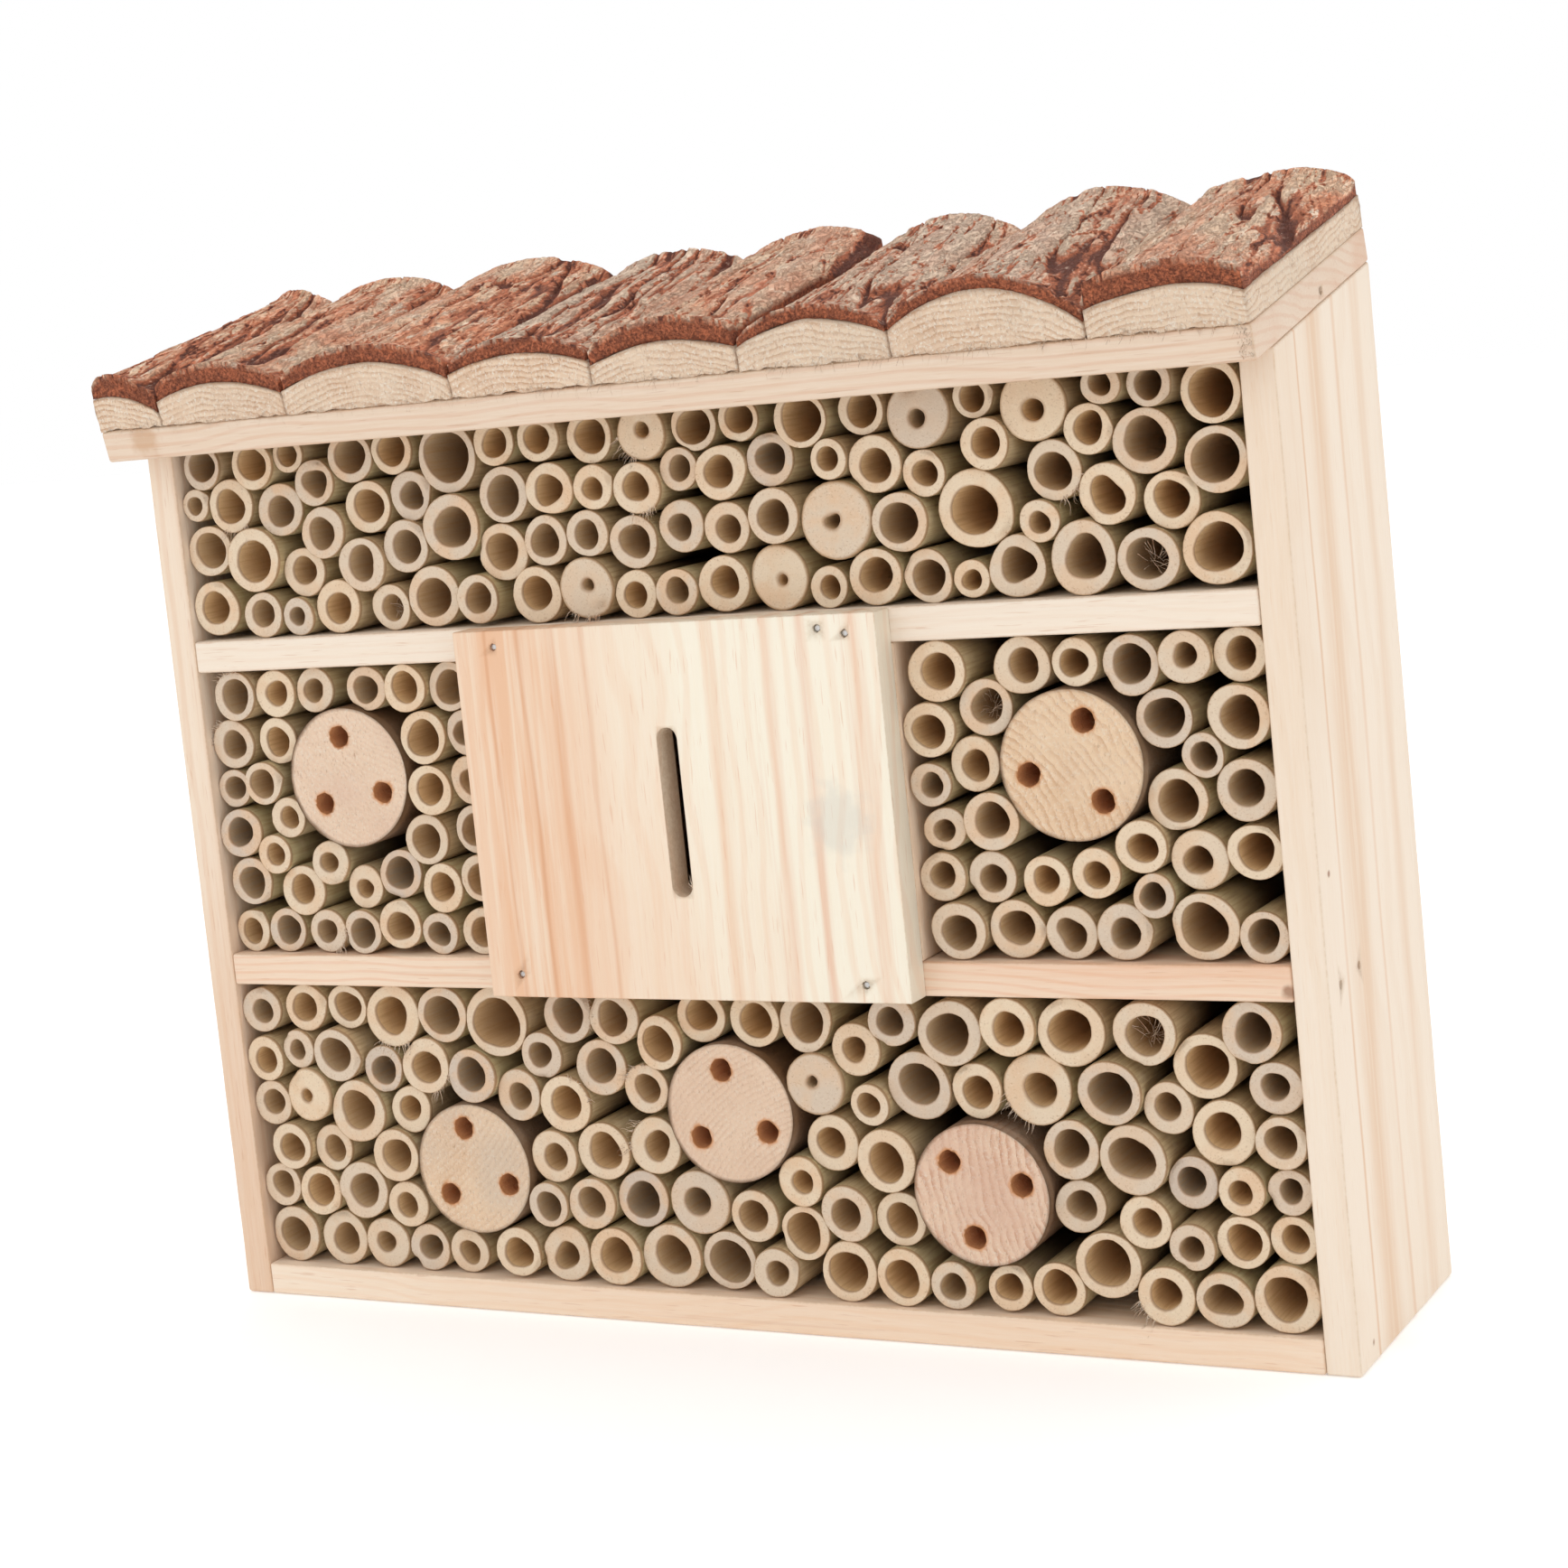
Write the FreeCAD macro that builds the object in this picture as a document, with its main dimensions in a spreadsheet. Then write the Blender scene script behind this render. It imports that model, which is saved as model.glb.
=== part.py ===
import FreeCAD, Part
import math
import os
import Sketcher

# An insect hotel for a garden wall: a nailed pine box with two shelves, a slotted chamber in the
# middle, a lean-to roof of sawn slabs that keep their bark, and bamboo canes and drilled logs
# stacked in the four bays. Millimetres. X runs along the front, +Y goes to the back, +Z is up.
# The origin is the middle of the underside. The pieces are made with Y = 0 in the box's front plane
# and are moved to it at the end.

doc = FreeCAD.newDocument("insect_hotel")
sheet = doc.addObject("Spreadsheet::Sheet", "sizes")

DRIVING_SIZES = [
    ("box_width", 300),
    ("box_depth", 70),
    ("board", 8),
    ("front_height", 221),
    ("roof_pitch", 12.5),
    ("lower_shelf_height", 82),
    ("upper_shelf_height", 163),
    ("back_board", 4),
    ("chamber_width", 113),
    ("chamber_shift", -1),
    ("chamber_front", 7.5),
    ("slot_width", 5.5),
    ("slot_length", 40),
    ("roof_board", 8),
    ("eaves", 11),
    ("left_verge", 3),
    ("slab_gap", 0.6),
    ("bark_gap", 0.3),
    ("stack_gap", 0.15),
    ("cane_setback", 0.6),
    ("cane_stagger", 2.4),
    ("cane_knot", 6),
    ("log_setback", 0.8),
    ("log_hole", 5.2),
    ("log_hole_circle", 10.5),
    ("log_hole_depth", 45),
    ("nail_shank", 1.1),
    ("nail_head", 1.8),
    ("nail_head_height", 0.6),
    ("box_nail", 24),
    ("front_nail", 22),
    ("slab_nail", 12),
    ("nail_inset", 16),
    ("fixing_room", 0.3),
    ("hanger_spacing", 160),
    ("hanger_width", 24),
    ("hanger_height", 34),
    ("hanger_plate", 1.2),
    ("hanger_fit", 0.2),
    ("hanger_hole", 8),
    ("hanger_rise", 17),
    ("hanger_foot", 8),
    ("head_room", 12),
    ("screw_shank", 2.6),
    ("screw_head", 5),
    ("screw_length", 14),
    ("screw_spacing", 14),
]
for row, (alias, value) in enumerate(DRIVING_SIZES, start=1):
    sheet.set("A%d" % row, alias.replace("_", " "))
    sheet.set("B%d" % row, str(value))
    sheet.setAlias("B%d" % row, alias)
doc.recompute()


def size(alias):
    return float(sheet.get(alias))


# Each slab of the roof, from left to right: its width, the height of its wood at the left edge, at
# the crown and at the right edge, how far along its width the crown lies, and the thickness of its
# bark at the same three places.
SLABS = [
    (20.0, 8.5, 8.9, 3.6, 0.25, 3.0, 6.4, 6.0),
    (38.5, 6.4, 9.8, 5.5, 0.48, 5.0, 5.6, 5.0),
    (48.5, 6.2, 10.8, 5.0, 0.52, 4.0, 5.2, 5.2),
    (38.5, 6.0, 9.3, 5.8, 0.52, 3.2, 4.6, 4.0),
    (38.5, 4.5, 8.8, 5.8, 0.55, 4.6, 6.2, 6.0),
    (37.5, 5.2, 10.2, 5.6, 0.50, 3.0, 4.2, 3.2),
    (45.5, 5.9, 13.0, 3.6, 0.48, 3.0, 3.8, 3.6),
    (36.0, 5.9, 9.7, 7.0, 0.62, 7.0, 6.0, 5.0),
]

# Each drilled log: its bay, the place of its axis from the bay's left wall and from its floor, its
# diameter, and the angle of its first hole.
LOGS = {
    "log_left": ("left", 42.5, 45.0, 35.6, 98),
    "log_right": ("right", 40.0, 44.0, 34.4, 70),
    "log_bottom_left": ("bottom", 67.0, 27.8, 33.4, 100),
    "log_bottom_centre": ("bottom", 142.0, 44.6, 34.2, 96),
    "log_bottom_right": ("bottom", 206.0, 28.0, 33.8, 135),
}

# The canes of each bay, from its floor up. Each is (place from the centre line, height of its axis
# over the floor of its bay, outside diameter, bore). The stack then settles clear of itself and of
# its bay, and is kept as so many courses, one named piece to a course.
CANES = {
    "top": [
        (-136, 8, 13.8, 8.3), (-119, 6, 11.5, 6.8), (-109, 5, 9.6, 4.7), (-97, 7, 13.5, 7.8),
        (-83, 6, 11.5, 6.5), (-69, 9, 15.0, 9.8), (-55, 7, 12.0, 7.5), (-39, 8, 13.7, 8.3),
        (-24, 8, 14.5, 3.0), (-10, 6, 11.5, 6.3), (1, 6, 11.0, 6.0), (12, 7, 13.2, 7.3),
        (27, 8, 15.2, 2.5), (40, 5, 9.7, 5.3), (52, 7, 13.0, 8.0), (65, 6, 12.0, 8.0),
        (75, 5, 8.6, 4.6), (87, 7, 13.8, 8.0), (102, 9, 16.0, 9.5), (118, 8, 14.0, 9.2),
        (133, 9, 15.7, 10.8),
        (-135, 22, 13.0, 9.0), (-120, 20, 16.3, 10.6), (-107, 16, 12.5, 7.2),
        (-99, 24, 13.0, 7.8), (-88, 18, 13.6, 8.2), (-76, 21, 13.1, 8.2), (-62, 25, 16.2, 10.2),
        (-48, 18, 14.0, 9.0), (-34, 20, 12.2, 8.0), (-22, 21, 11.2, 6.7), (-10, 18, 12.7, 8.0),
        (3, 21, 12.2, 6.2), (15, 20, 12.0, 6.5), (28, 22, 13.0, 8.2), (44, 20, 18.0, 3.6),
        (60, 19, 13.6, 9.3), (78, 21, 17.8, 11.0), (93, 17, 9.5, 4.9), (109, 22, 13.5, 8.0),
        (124, 20, 12.8, 8.0),
        (-138, 35, 8.3, 4.7), (-127, 34, 13.5, 8.6), (-112, 32, 13.4, 7.8), (-100, 36, 11.5, 7.0),
        (-85, 31, 13.0, 8.4), (-73, 33, 11.8, 6.7), (-45, 32, 13.8, 9.6), (-31, 32, 12.8, 7.5),
        (-19, 32, 10.8, 5.5), (-7, 31, 12.5, 6.9), (4, 34, 10.2, 5.9), (15, 33, 13.0, 7.5),
        (28, 35, 12.2, 7.4), (44, 34, 9.3, 5.5), (55, 32, 13.2, 7.8), (67, 29, 10.5, 6.0),
        (82, 35, 11.6, 7.0), (96, 28, 13.3, 8.6), (106, 36, 11.2, 7.0), (119, 33, 14.6, 9.6),
        (134, 27, 14.2, 10.5),
        (-134, 44, 11.6, 8.0), (-118, 44, 12.6, 8.6), (-104, 45, 9.0, 6.0), (-91, 43, 12.8, 8.8),
        (-76, 44, 11.6, 8.0), (-61, 41, 17.0, 12.8), (-46, 44, 11.4, 7.0), (-33, 44, 11.4, 7.0),
        (-19, 43, 12.6, 8.4), (-5, 43, 13.0, 3.7), (9, 44, 11.8, 8.6), (21, 45, 10.4, 7.0),
        (37, 43, 13.0, 10.0), (52, 44, 11.4, 7.8), (66, 42, 15.4, 4.0), (80, 45, 9.6, 6.2),
        (94, 41, 15.8, 5.0), (110, 45, 9.0, 5.2), (121, 45, 10.2, 6.4), (135, 42, 13.8, 10.2),
    ],
    "left": [
        (-136, 5, 10.8, 6.5), (-125, 6, 11.3, 7.3), (-113, 5, 11.2, 6.0), (-100, 6, 11.2, 7.6),
        (-89, 8, 12.5, 7.6), (-76, 6, 10.7, 6.3), (-65, 6, 11.6, 7.2),
        (-134, 19, 12.3, 8.0), (-118, 18, 13.0, 7.3), (-97, 16, 11.0, 4.9), (-106, 23, 11.2, 5.2),
        (-86, 22, 12.3, 8.2), (-75, 18, 12.2, 7.2), (-64, 18, 11.3, 7.5), (-125, 26, 10.3, 5.8),
        (-135, 32, 12.7, 7.6), (-120, 36, 10.4, 5.6), (-76, 31, 12.8, 8.4), (-64, 30, 12.2, 8.6),
        (-136, 43, 10.0, 6.3), (-128, 44, 11.0, 7.4), (-75, 42, 12.8, 8.0), (-64, 43, 11.6, 6.5),
        (-135, 55, 12.8, 7.3), (-122, 55, 12.0, 7.4), (-76, 55, 13.3, 9.2), (-64, 55, 11.4, 6.5),
        (-130, 67, 12.6, 8.5), (-118, 67, 12.2, 6.5), (-106, 67, 11.4, 6.0), (-93, 67, 11.4, 7.0),
        (-80, 67, 12.0, 7.7), (-66, 67, 12.3, 8.5),
    ],
    "right": [
        (62, 8, 13.5, 8.4), (77, 7, 13.7, 8.3), (91, 7, 12.3, 7.0), (104, 7, 13.0, 7.0),
        (121, 8, 15.6, 11.0), (136, 7, 11.3, 7.3),
        (72, 18, 12.0, 6.5), (87, 18, 11.5, 6.2), (99, 20, 11.4, 6.1), (111, 15, 10.0, 6.2),
        (61, 21, 11.5, 6.3), (75, 29, 13.5, 8.3), (63, 31, 10.3, 5.2), (109, 26, 12.0, 6.8),
        (123, 22, 13.3, 6.4), (135, 24, 12.4, 8.2),
        (60, 41, 10.6, 5.9), (71, 45, 12.9, 7.2), (119, 37, 14.0, 9.4), (135, 39, 13.8, 8.1),
        (124, 48, 9.9, 6.2), (61, 54, 12.7, 7.9), (74, 57, 13.0, 7.8), (115, 54, 13.2, 9.0),
        (134, 54, 14.2, 9.2),
        (64, 66, 14.0, 8.3), (83, 67, 13.3, 7.4), (97, 67, 12.4, 7.4), (110, 66, 13.5, 8.9),
        (123, 67, 12.0, 5.4), (136, 67, 12.0, 7.0),
    ],
    "bottom": [
        (-135, 8, 14.8, 9.2), (-119, 7, 14.0, 8.0), (-103, 7, 13.2, 5.5), (-90, 6, 12.0, 6.6),
        (-78, 6, 11.5, 6.0), (-65, 7, 12.6, 7.8), (-51, 7, 13.8, 6.8), (-36, 8, 14.6, 9.0),
        (-20, 8, 16.2, 9.6), (-4, 8, 14.5, 10.8), (9, 6, 11.9, 5.9), (26, 8, 14.4, 9.8),
        (40, 7, 13.8, 8.8), (53, 6, 11.4, 6.4), (65, 6, 11.6, 7.0), (78, 7, 12.8, 8.5),
        (92, 9, 15.7, 11.0), (106, 8, 13.6, 7.4), (120, 7, 13.2, 7.9), (134, 8, 15.2, 9.7),
        (-136, 21, 11.4, 6.8), (-124, 19, 12.8, 8.3), (-109, 21, 14.8, 8.6), (-95, 18, 12.0, 6.2),
        (-53, 20, 11.4, 7.2), (-41, 20, 13.0, 7.5), (-27, 22, 14.0, 9.1), (-10, 23, 16.0, 7.0),
        (3, 19, 12.7, 7.7), (16, 16, 13.2, 9.4), (30, 21, 13.6, 7.8), (44, 20, 12.8, 8.1),
        (87, 23, 12.3, 7.0), (99, 22, 12.3, 6.7), (112, 20, 10.8, 5.8), (124, 20, 12.0, 8.0),
        (136, 20, 10.8, 6.2),
        (-131, 31, 12.2, 7.5), (-119, 31, 12.0, 6.7), (-98, 30, 13.5, 8.4), (-51, 32, 13.3, 6.8),
        (-37, 32, 14.5, 9.0), (-22, 35, 14.3, 7.2), (17, 29, 12.0, 5.6), (40, 34, 15.3, 9.2),
        (25, 38, 13.8, 7.4), (86, 38, 13.7, 8.6), (100, 36, 15.9, 10.0), (114, 33, 11.8, 6.6),
        (126, 32, 11.0, 5.5), (136, 30, 10.4, 5.4),
        (-136, 42, 11.8, 6.7), (-124, 43, 13.8, 3.3), (-108, 40, 16.2, 10.0),
        (-93, 41, 12.0, 6.4), (-59, 47, 12.9, 6.6), (-46, 46, 14.4, 8.5), (-21, 50, 12.3, 7.0),
        (24, 52, 15.0, 2.7), (38, 48, 10.0, 5.9), (50, 52, 16.2, 10.0), (65, 52, 12.8, 7.6),
        (80, 52, 16.8, 7.8), (97, 51, 15.0, 10.2), (110, 49, 11.8, 6.2), (122, 44, 14.8, 8.3),
        (136, 41, 11.7, 7.2),
        (-136, 55, 11.6, 6.8), (-125, 55, 10.0, 5.0), (-113, 54, 14.0, 9.0), (-99, 51, 11.8, 7.4),
        (-88, 53, 14.2, 8.3), (-74, 52, 13.8, 8.4), (-53, 57, 11.8, 6.5), (-33, 54, 14.0, 8.4),
        (34, 60, 12.6, 6.0), (120, 59, 14.8, 10.0), (135, 53, 12.0, 6.2),
        (-136, 67, 11.8, 6.2), (-122, 67, 12.2, 7.4), (-110, 67, 11.6, 7.8), (-97, 65, 16.0, 9.5),
        (-82, 66, 14.2, 10.0), (-65, 65, 17.6, 13.0), (-43, 67, 13.6, 8.7), (-29, 67, 13.6, 8.4),
        (-16, 63, 13.0, 8.6), (-4, 67, 12.8, 8.0), (9, 67, 13.2, 8.5), (22, 66, 14.0, 9.2),
        (45, 68, 12.2, 6.8), (60, 65, 15.5, 9.9), (75, 67, 13.7, 7.8), (91, 66, 16.0, 10.0),
        (107, 66, 14.6, 9.0), (133, 66, 13.8, 8.5),
    ],
}
COURSES = {"top": 4, "left": 4, "right": 4, "bottom": 6}

BACK_HEIGHT = "sizes.front_height + sizes.box_depth * tan(sizes.roof_pitch * 1 deg)"
SHELF_DEPTH = "sizes.box_depth - sizes.back_board"


def placed(item, x="0", y="0", z="0"):
    """Binds the item's place to the sheet."""
    item.setExpression("Placement.Base.x", x)
    item.setExpression("Placement.Base.y", y)
    item.setExpression("Placement.Base.z", z)
    return item


def box(name, length, width, height, x, y, z):
    """A plain board, its three sizes and its lowest corner bound to the sheet."""
    board = doc.addObject("Part::Box", name)
    board.setExpression("Length", length)
    board.setExpression("Width", width)
    board.setExpression("Height", height)
    return placed(board, x, y, z)


def new_body(name):
    return doc.addObject("PartDesign::Body", name)


def sketch_on(body, role, name):
    """A sketch on one of the body's own origin planes."""
    plane = [f for f in body.Origin.OriginFeatures if f.Role == role][0]
    sketch = body.newObject("Sketcher::SketchObject", name)
    sketch.AttachmentSupport = [(plane, "")]
    sketch.MapMode = "FlatFace"
    return sketch


def bind(sketch, kind, args, expression):
    """A dimension that takes its value from the sheet."""
    index = sketch.addConstraint(Sketcher.Constraint(kind, *args))
    sketch.setExpression("Constraints[%d]" % index, expression)


def pad(body, sketch, length, reversed_way=False):
    feature = body.newObject("PartDesign::Pad", sketch.Name + "_pad")
    feature.Profile = sketch
    feature.Reversed = reversed_way
    feature.setExpression("Length", length)
    doc.recompute()
    return feature


def pocket(body, sketch, depth, reversed_way=False):
    """A pocket, which has to take some material away."""
    before = body.Shape.Volume
    feature = body.newObject("PartDesign::Pocket", sketch.Name + "_pocket")
    feature.Profile = sketch
    feature.Reversed = reversed_way
    feature.setExpression("Length", depth)
    doc.recompute()
    if body.Shape.Volume > before - 0.01:
        raise RuntimeError(feature.Name + " cuts nothing")
    return feature


def closed_lines(sketch, corners):
    """Lines from corner to corner and back to the first, joined end to end."""
    points = [FreeCAD.Vector(x, y, 0) for x, y in corners]
    count = len(points)
    for i in range(count):
        sketch.addGeometry(Part.LineSegment(points[i], points[(i + 1) % count]), False)
    for i in range(count):
        sketch.addConstraint(Sketcher.Constraint("Coincident", i, 2, (i + 1) % count, 1))


def lean_to(name, front, depth, front_height, length):
    """A board or panel with a top edge cut to the roof's pitch: its outline lies in YZ, and its
    length along X is given. Its low front corner is at its own origin."""
    body = new_body(name)
    sketch = sketch_on(body, "YZ_Plane", name + "_outline")
    closed_lines(sketch, [(0, 0), (50, 0), (50, 230), (0, 220)])
    sketch.addConstraint(Sketcher.Constraint("Coincident", 0, 1, -1, 1))
    sketch.addConstraint(Sketcher.Constraint("Horizontal", 0))
    sketch.addConstraint(Sketcher.Constraint("Vertical", 1))
    sketch.addConstraint(Sketcher.Constraint("Vertical", 3))
    rise = "(%s) * tan(sizes.roof_pitch * 1 deg)"
    bind(sketch, "DistanceX", (0, 1, 0, 2, 50.0), depth)
    bind(sketch, "DistanceY", (0, 1, 2, 2, 220.0), front_height + " + " + rise % front)
    bind(sketch, "DistanceY", (0, 2, 1, 2, 230.0), front_height + " + " + rise % (front + "+" + depth))
    pad(body, sketch, length)
    return body


# The pieces that are written out, by name.
kept = {}


def cut(base, tools, name):
    """The base less the tools, as the piece that is kept."""
    for number, tool in enumerate(tools, start=1):
        result = doc.addObject("Part::Cut", "%s_cut_%d" % (name, number))
        result.Base = base
        result.Tool = tool
        base = result
    kept[name] = base
    return base


def solids(name, shapes):
    """A group of separate solids in one object."""
    group = doc.addObject("Part::Feature", name)
    group.Shape = Part.makeCompound(shapes)
    return group


# ---- nails and screws ----


def nail(head_at, direction, length, room=0):
    """A pin with a thin head, its head flush with the surface it is driven through. With some room
    it is the hole that the pin goes into."""
    along = FreeCAD.Vector(*direction)
    start = FreeCAD.Vector(*head_at)
    head = Part.makeCylinder(size("nail_head") / 2 + room, size("nail_head_height"), start, along)
    shank = Part.makeCylinder(size("nail_shank") / 2 + room, length + room, start, along)
    return head.fuse(shank).removeSplitter()


def screw(head_at, direction, length, room=0):
    """A countersunk screw, its head flush with the surface, or the hole for it."""
    along = FreeCAD.Vector(*direction)
    start = FreeCAD.Vector(*head_at)
    head_radius = size("screw_head") / 2 + room
    shank_radius = size("screw_shank") / 2 + room
    head = Part.makeCone(head_radius, shank_radius, head_radius - shank_radius, start, along)
    shank = Part.makeCylinder(shank_radius, length + room, start, along)
    return head.fuse(shank).removeSplitter()


def fixings(name, make, places, length):
    """The nails or screws of one kind as one piece, and the holes that take them."""
    kept[name] = solids(name, [make(start, way, length) for start, way in places])
    room = size("fixing_room")
    return solids(name + "_holes", [make(start, way, length, room) for start, way in places])


half_width = size("box_width") / 2
depth = size("box_depth")
board = size("board")
shelf_depth = depth - size("back_board")
pitch = math.radians(size("roof_pitch"))
chamber_left = size("chamber_shift") - size("chamber_width") / 2
chamber_right = chamber_left + size("chamber_width")
tier_middles = [
    board / 2,
    size("lower_shelf_height") + board / 2,
    size("upper_shelf_height") + board / 2,
]

def on_roof(x, along, above):
    """A point at that place across the front, that far up the slope from the lower front edge of
    the roof board, and that high over its underside, square to it."""
    return (
        x,
        -size("eaves") + along * math.cos(pitch) - above * math.sin(pitch),
        size("front_height") - size("eaves") * math.tan(pitch)
        + along * math.sin(pitch) + above * math.cos(pitch),
    )


roof_length = (depth + size("eaves")) / math.cos(pitch)
# Only the lower shelf is nailed through the side boards, by hand: each nail's share of the depth and
# of the shelf's thickness. The other boards are glued, and the back board's nails hold them too.
SIDE_NAILS = [(0.12, 0.28), (0.32, 0.42)]
side_holes = {}
for side, way in (("left", 1), ("right", -1)):
    places = [
        ((-way * half_width, back * shelf_depth, size("lower_shelf_height") + up * board), (way, 0, 0))
        for back, up in SIDE_NAILS]
    if side == "right":
        # One more of these went into the right end of the roof board.
        end = on_roof(half_width, 0.56 * roof_length, size("roof_board") / 3)
        places.append((end, (way, 0, 0)))
    side_holes[side] = fixings("side_nails_" + side, nail, places, size("box_nail"))

# The front of the chamber is pinned to both shelves, by hand and not quite in line.
FRONT_PINS = [(0.10, 1, 0.0), (0.87, 1, 0.8), (0.93, 1, -0.6), (0.08, 0, 1.6), (0.90, 0, 0.2)]
places = [
    ((chamber_left + along * size("chamber_width"), -size("chamber_front"),
      tier_middles[1 + upper] + off), (0, 1, 0))
    for along, upper, off in FRONT_PINS]
front_holes = fixings("front_nails", nail, places, size("front_nail"))

# The back board's nails stand clear of the side boards' nails, which end inside the same boards.
places = [
    ((across * (half_width - 2 * size("nail_inset")), depth, z), (0, -1, 0))
    for z in tier_middles for across in (-1, -0.33, 0.33, 1)]
back_holes = fixings("back_nails", nail, places, size("box_nail"))


into_board = (0, math.sin(pitch), -math.cos(pitch))
out_of_board = (0, -math.sin(pitch), math.cos(pitch))
places = [
    (on_roof(side * (half_width - board / 2), along * roof_length, size("roof_board")), into_board)
    for side in (-1, 1) for along in (0.25, 0.8)]
roof_holes = fixings("roof_nails", nail, places, size("box_nail"))

roof_left = -half_width - size("left_verge")
slab_share = (2 * half_width + size("left_verge")) / sum(slab[0] for slab in SLABS)
slab_edges = [roof_left]
for slab in SLABS:
    slab_edges.append(slab_edges[-1] + slab[0] * slab_share)

# The slabs are nailed from below, clear of the side boards, which the roof board covers.
places = []
for number in range(len(SLABS)):
    left = max(slab_edges[number], -half_width + board)
    right = min(slab_edges[number + 1], half_width - board)
    for share in (0.30, 0.76):
        places.append((on_roof((left + right) / 2, share * roof_length, 0), out_of_board))
slab_holes = fixings("slab_nails", nail, places, size("slab_nail"))

places = [
    ((side * size("hanger_spacing") / 2 + across * size("screw_spacing") / 2, depth,
      tier_middles[2]), (0, -1, 0))
    for side in (-1, 1) for across in (-1, 1)]
screw_holes = fixings("hanger_screws", screw, places, size("screw_length"))

# ---- the box ----

for side, x in (("left", "-sizes.box_width / 2"), ("right", "sizes.box_width / 2 - sizes.board")):
    blank = lean_to("side_blank_" + side, "0", "sizes.box_depth", "sizes.front_height", "sizes.board")
    placed(blank, x)
    cut(blank, [side_holes[side], roof_holes], "side_board_" + side)

INNER_WIDTH = "sizes.box_width - 2 * sizes.board"
INNER_LEFT = "-sizes.box_width / 2 + sizes.board"
side_and_back = [side_holes["left"], side_holes["right"], back_holes]
for name, height, more in (
        ("bottom_board", "0", []),
        ("lower_shelf", "sizes.lower_shelf_height", [front_holes]),
        ("upper_shelf", "sizes.upper_shelf_height", [front_holes, screw_holes])):
    blank = box(name + "_blank", INNER_WIDTH, SHELF_DEPTH, "sizes.board", INNER_LEFT, "0", height)
    cut(blank, side_and_back + more, name)

WALL_HEIGHT = "sizes.upper_shelf_height - sizes.lower_shelf_height - sizes.board"
WALL_FOOT = "sizes.lower_shelf_height + sizes.board"
CHAMBER_LEFT = "sizes.chamber_shift - sizes.chamber_width / 2"
CHAMBER_RIGHT = "sizes.chamber_shift + sizes.chamber_width / 2 - sizes.board"
for name, x in (("chamber_wall_left", CHAMBER_LEFT), ("chamber_wall_right", CHAMBER_RIGHT)):
    kept[name] = box(name, "sizes.board", SHELF_DEPTH, WALL_HEIGHT, x, "0", WALL_FOOT)


def chamber_front():
    """The slotted board in front of the chamber, from the underside of the lower shelf to the top
    of the upper one."""
    body = new_body("chamber_front_blank")
    outline = sketch_on(body, "XZ_Plane", "chamber_outline")
    closed_lines(outline, [(0, 0), (110, 0), (110, 90), (0, 90)])
    outline.addConstraint(Sketcher.Constraint("Coincident", 0, 1, -1, 1))
    for line, way in ((0, "Horizontal"), (1, "Vertical"), (2, "Horizontal"), (3, "Vertical")):
        outline.addConstraint(Sketcher.Constraint(way, line))
    bind(outline, "DistanceX", (0, 1, 0, 2, 110.0), "sizes.chamber_width")
    bind(outline, "DistanceY", (1, 1, 1, 2, 90.0),
         "sizes.upper_shelf_height - sizes.lower_shelf_height + sizes.board")
    pad(body, outline, "sizes.chamber_front")
    slot = sketch_on(body, "XZ_Plane", "chamber_slot")
    low = FreeCAD.Vector(55, 30, 0)
    high = FreeCAD.Vector(55, 60, 0)
    up = FreeCAD.Vector(0, 0, 1)
    slot.addGeometry(Part.ArcOfCircle(Part.Circle(low, up, 3), math.pi, 2 * math.pi), False)
    slot.addGeometry(Part.ArcOfCircle(Part.Circle(high, up, 3), 0, math.pi), False)
    slot.addGeometry(Part.LineSegment(FreeCAD.Vector(58, 30, 0), FreeCAD.Vector(58, 60, 0)), False)
    slot.addGeometry(Part.LineSegment(FreeCAD.Vector(52, 60, 0), FreeCAD.Vector(52, 30, 0)), False)
    for ends in ((0, 2, 2, 1), (2, 2, 1, 1), (1, 2, 3, 1), (3, 2, 0, 1)):
        slot.addConstraint(Sketcher.Constraint("Tangent", *ends))
    slot.addConstraint(Sketcher.Constraint("Vertical", 2))
    slot.addConstraint(Sketcher.Constraint("Equal", 0, 1))
    bind(slot, "Radius", (0, 3.0), "sizes.slot_width / 2")
    bind(slot, "DistanceX", (-1, 1, 0, 3, 55.0), "sizes.chamber_width / 2")
    half_slot = "(sizes.slot_length - sizes.slot_width) / 2"
    middle = "(sizes.upper_shelf_height - sizes.lower_shelf_height + sizes.board) / 2"
    bind(slot, "DistanceY", (-1, 1, 0, 3, 30.0), middle + " - " + half_slot)
    bind(slot, "DistanceY", (0, 3, 1, 3, 30.0), "2 * " + half_slot)
    pocket(body, slot, "sizes.chamber_front", reversed_way=True)
    return placed(body, CHAMBER_LEFT, "0", "sizes.lower_shelf_height")


cut(chamber_front(), [front_holes], "chamber_front")


def square_pocket(body, name, x, z, width, height, depth_cut, reversed_way=False):
    """A rectangular rebate cut along Y from the plane of its XZ sketch."""
    sketch = sketch_on(body, "XZ_Plane", name)
    closed_lines(sketch, [(10, 10), (30, 10), (30, 40), (10, 40)])
    for line, way in ((0, "Horizontal"), (1, "Vertical"), (2, "Horizontal"), (3, "Vertical")):
        sketch.addConstraint(Sketcher.Constraint(way, line))
    bind(sketch, "DistanceX", (-1, 1, 0, 1, 10.0), x)
    bind(sketch, "DistanceY", (-1, 1, 0, 1, 10.0), z)
    bind(sketch, "DistanceX", (0, 1, 0, 2, 20.0), width)
    bind(sketch, "DistanceY", (1, 1, 1, 2, 30.0), height)
    return pocket(body, sketch, depth_cut, reversed_way)


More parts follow.
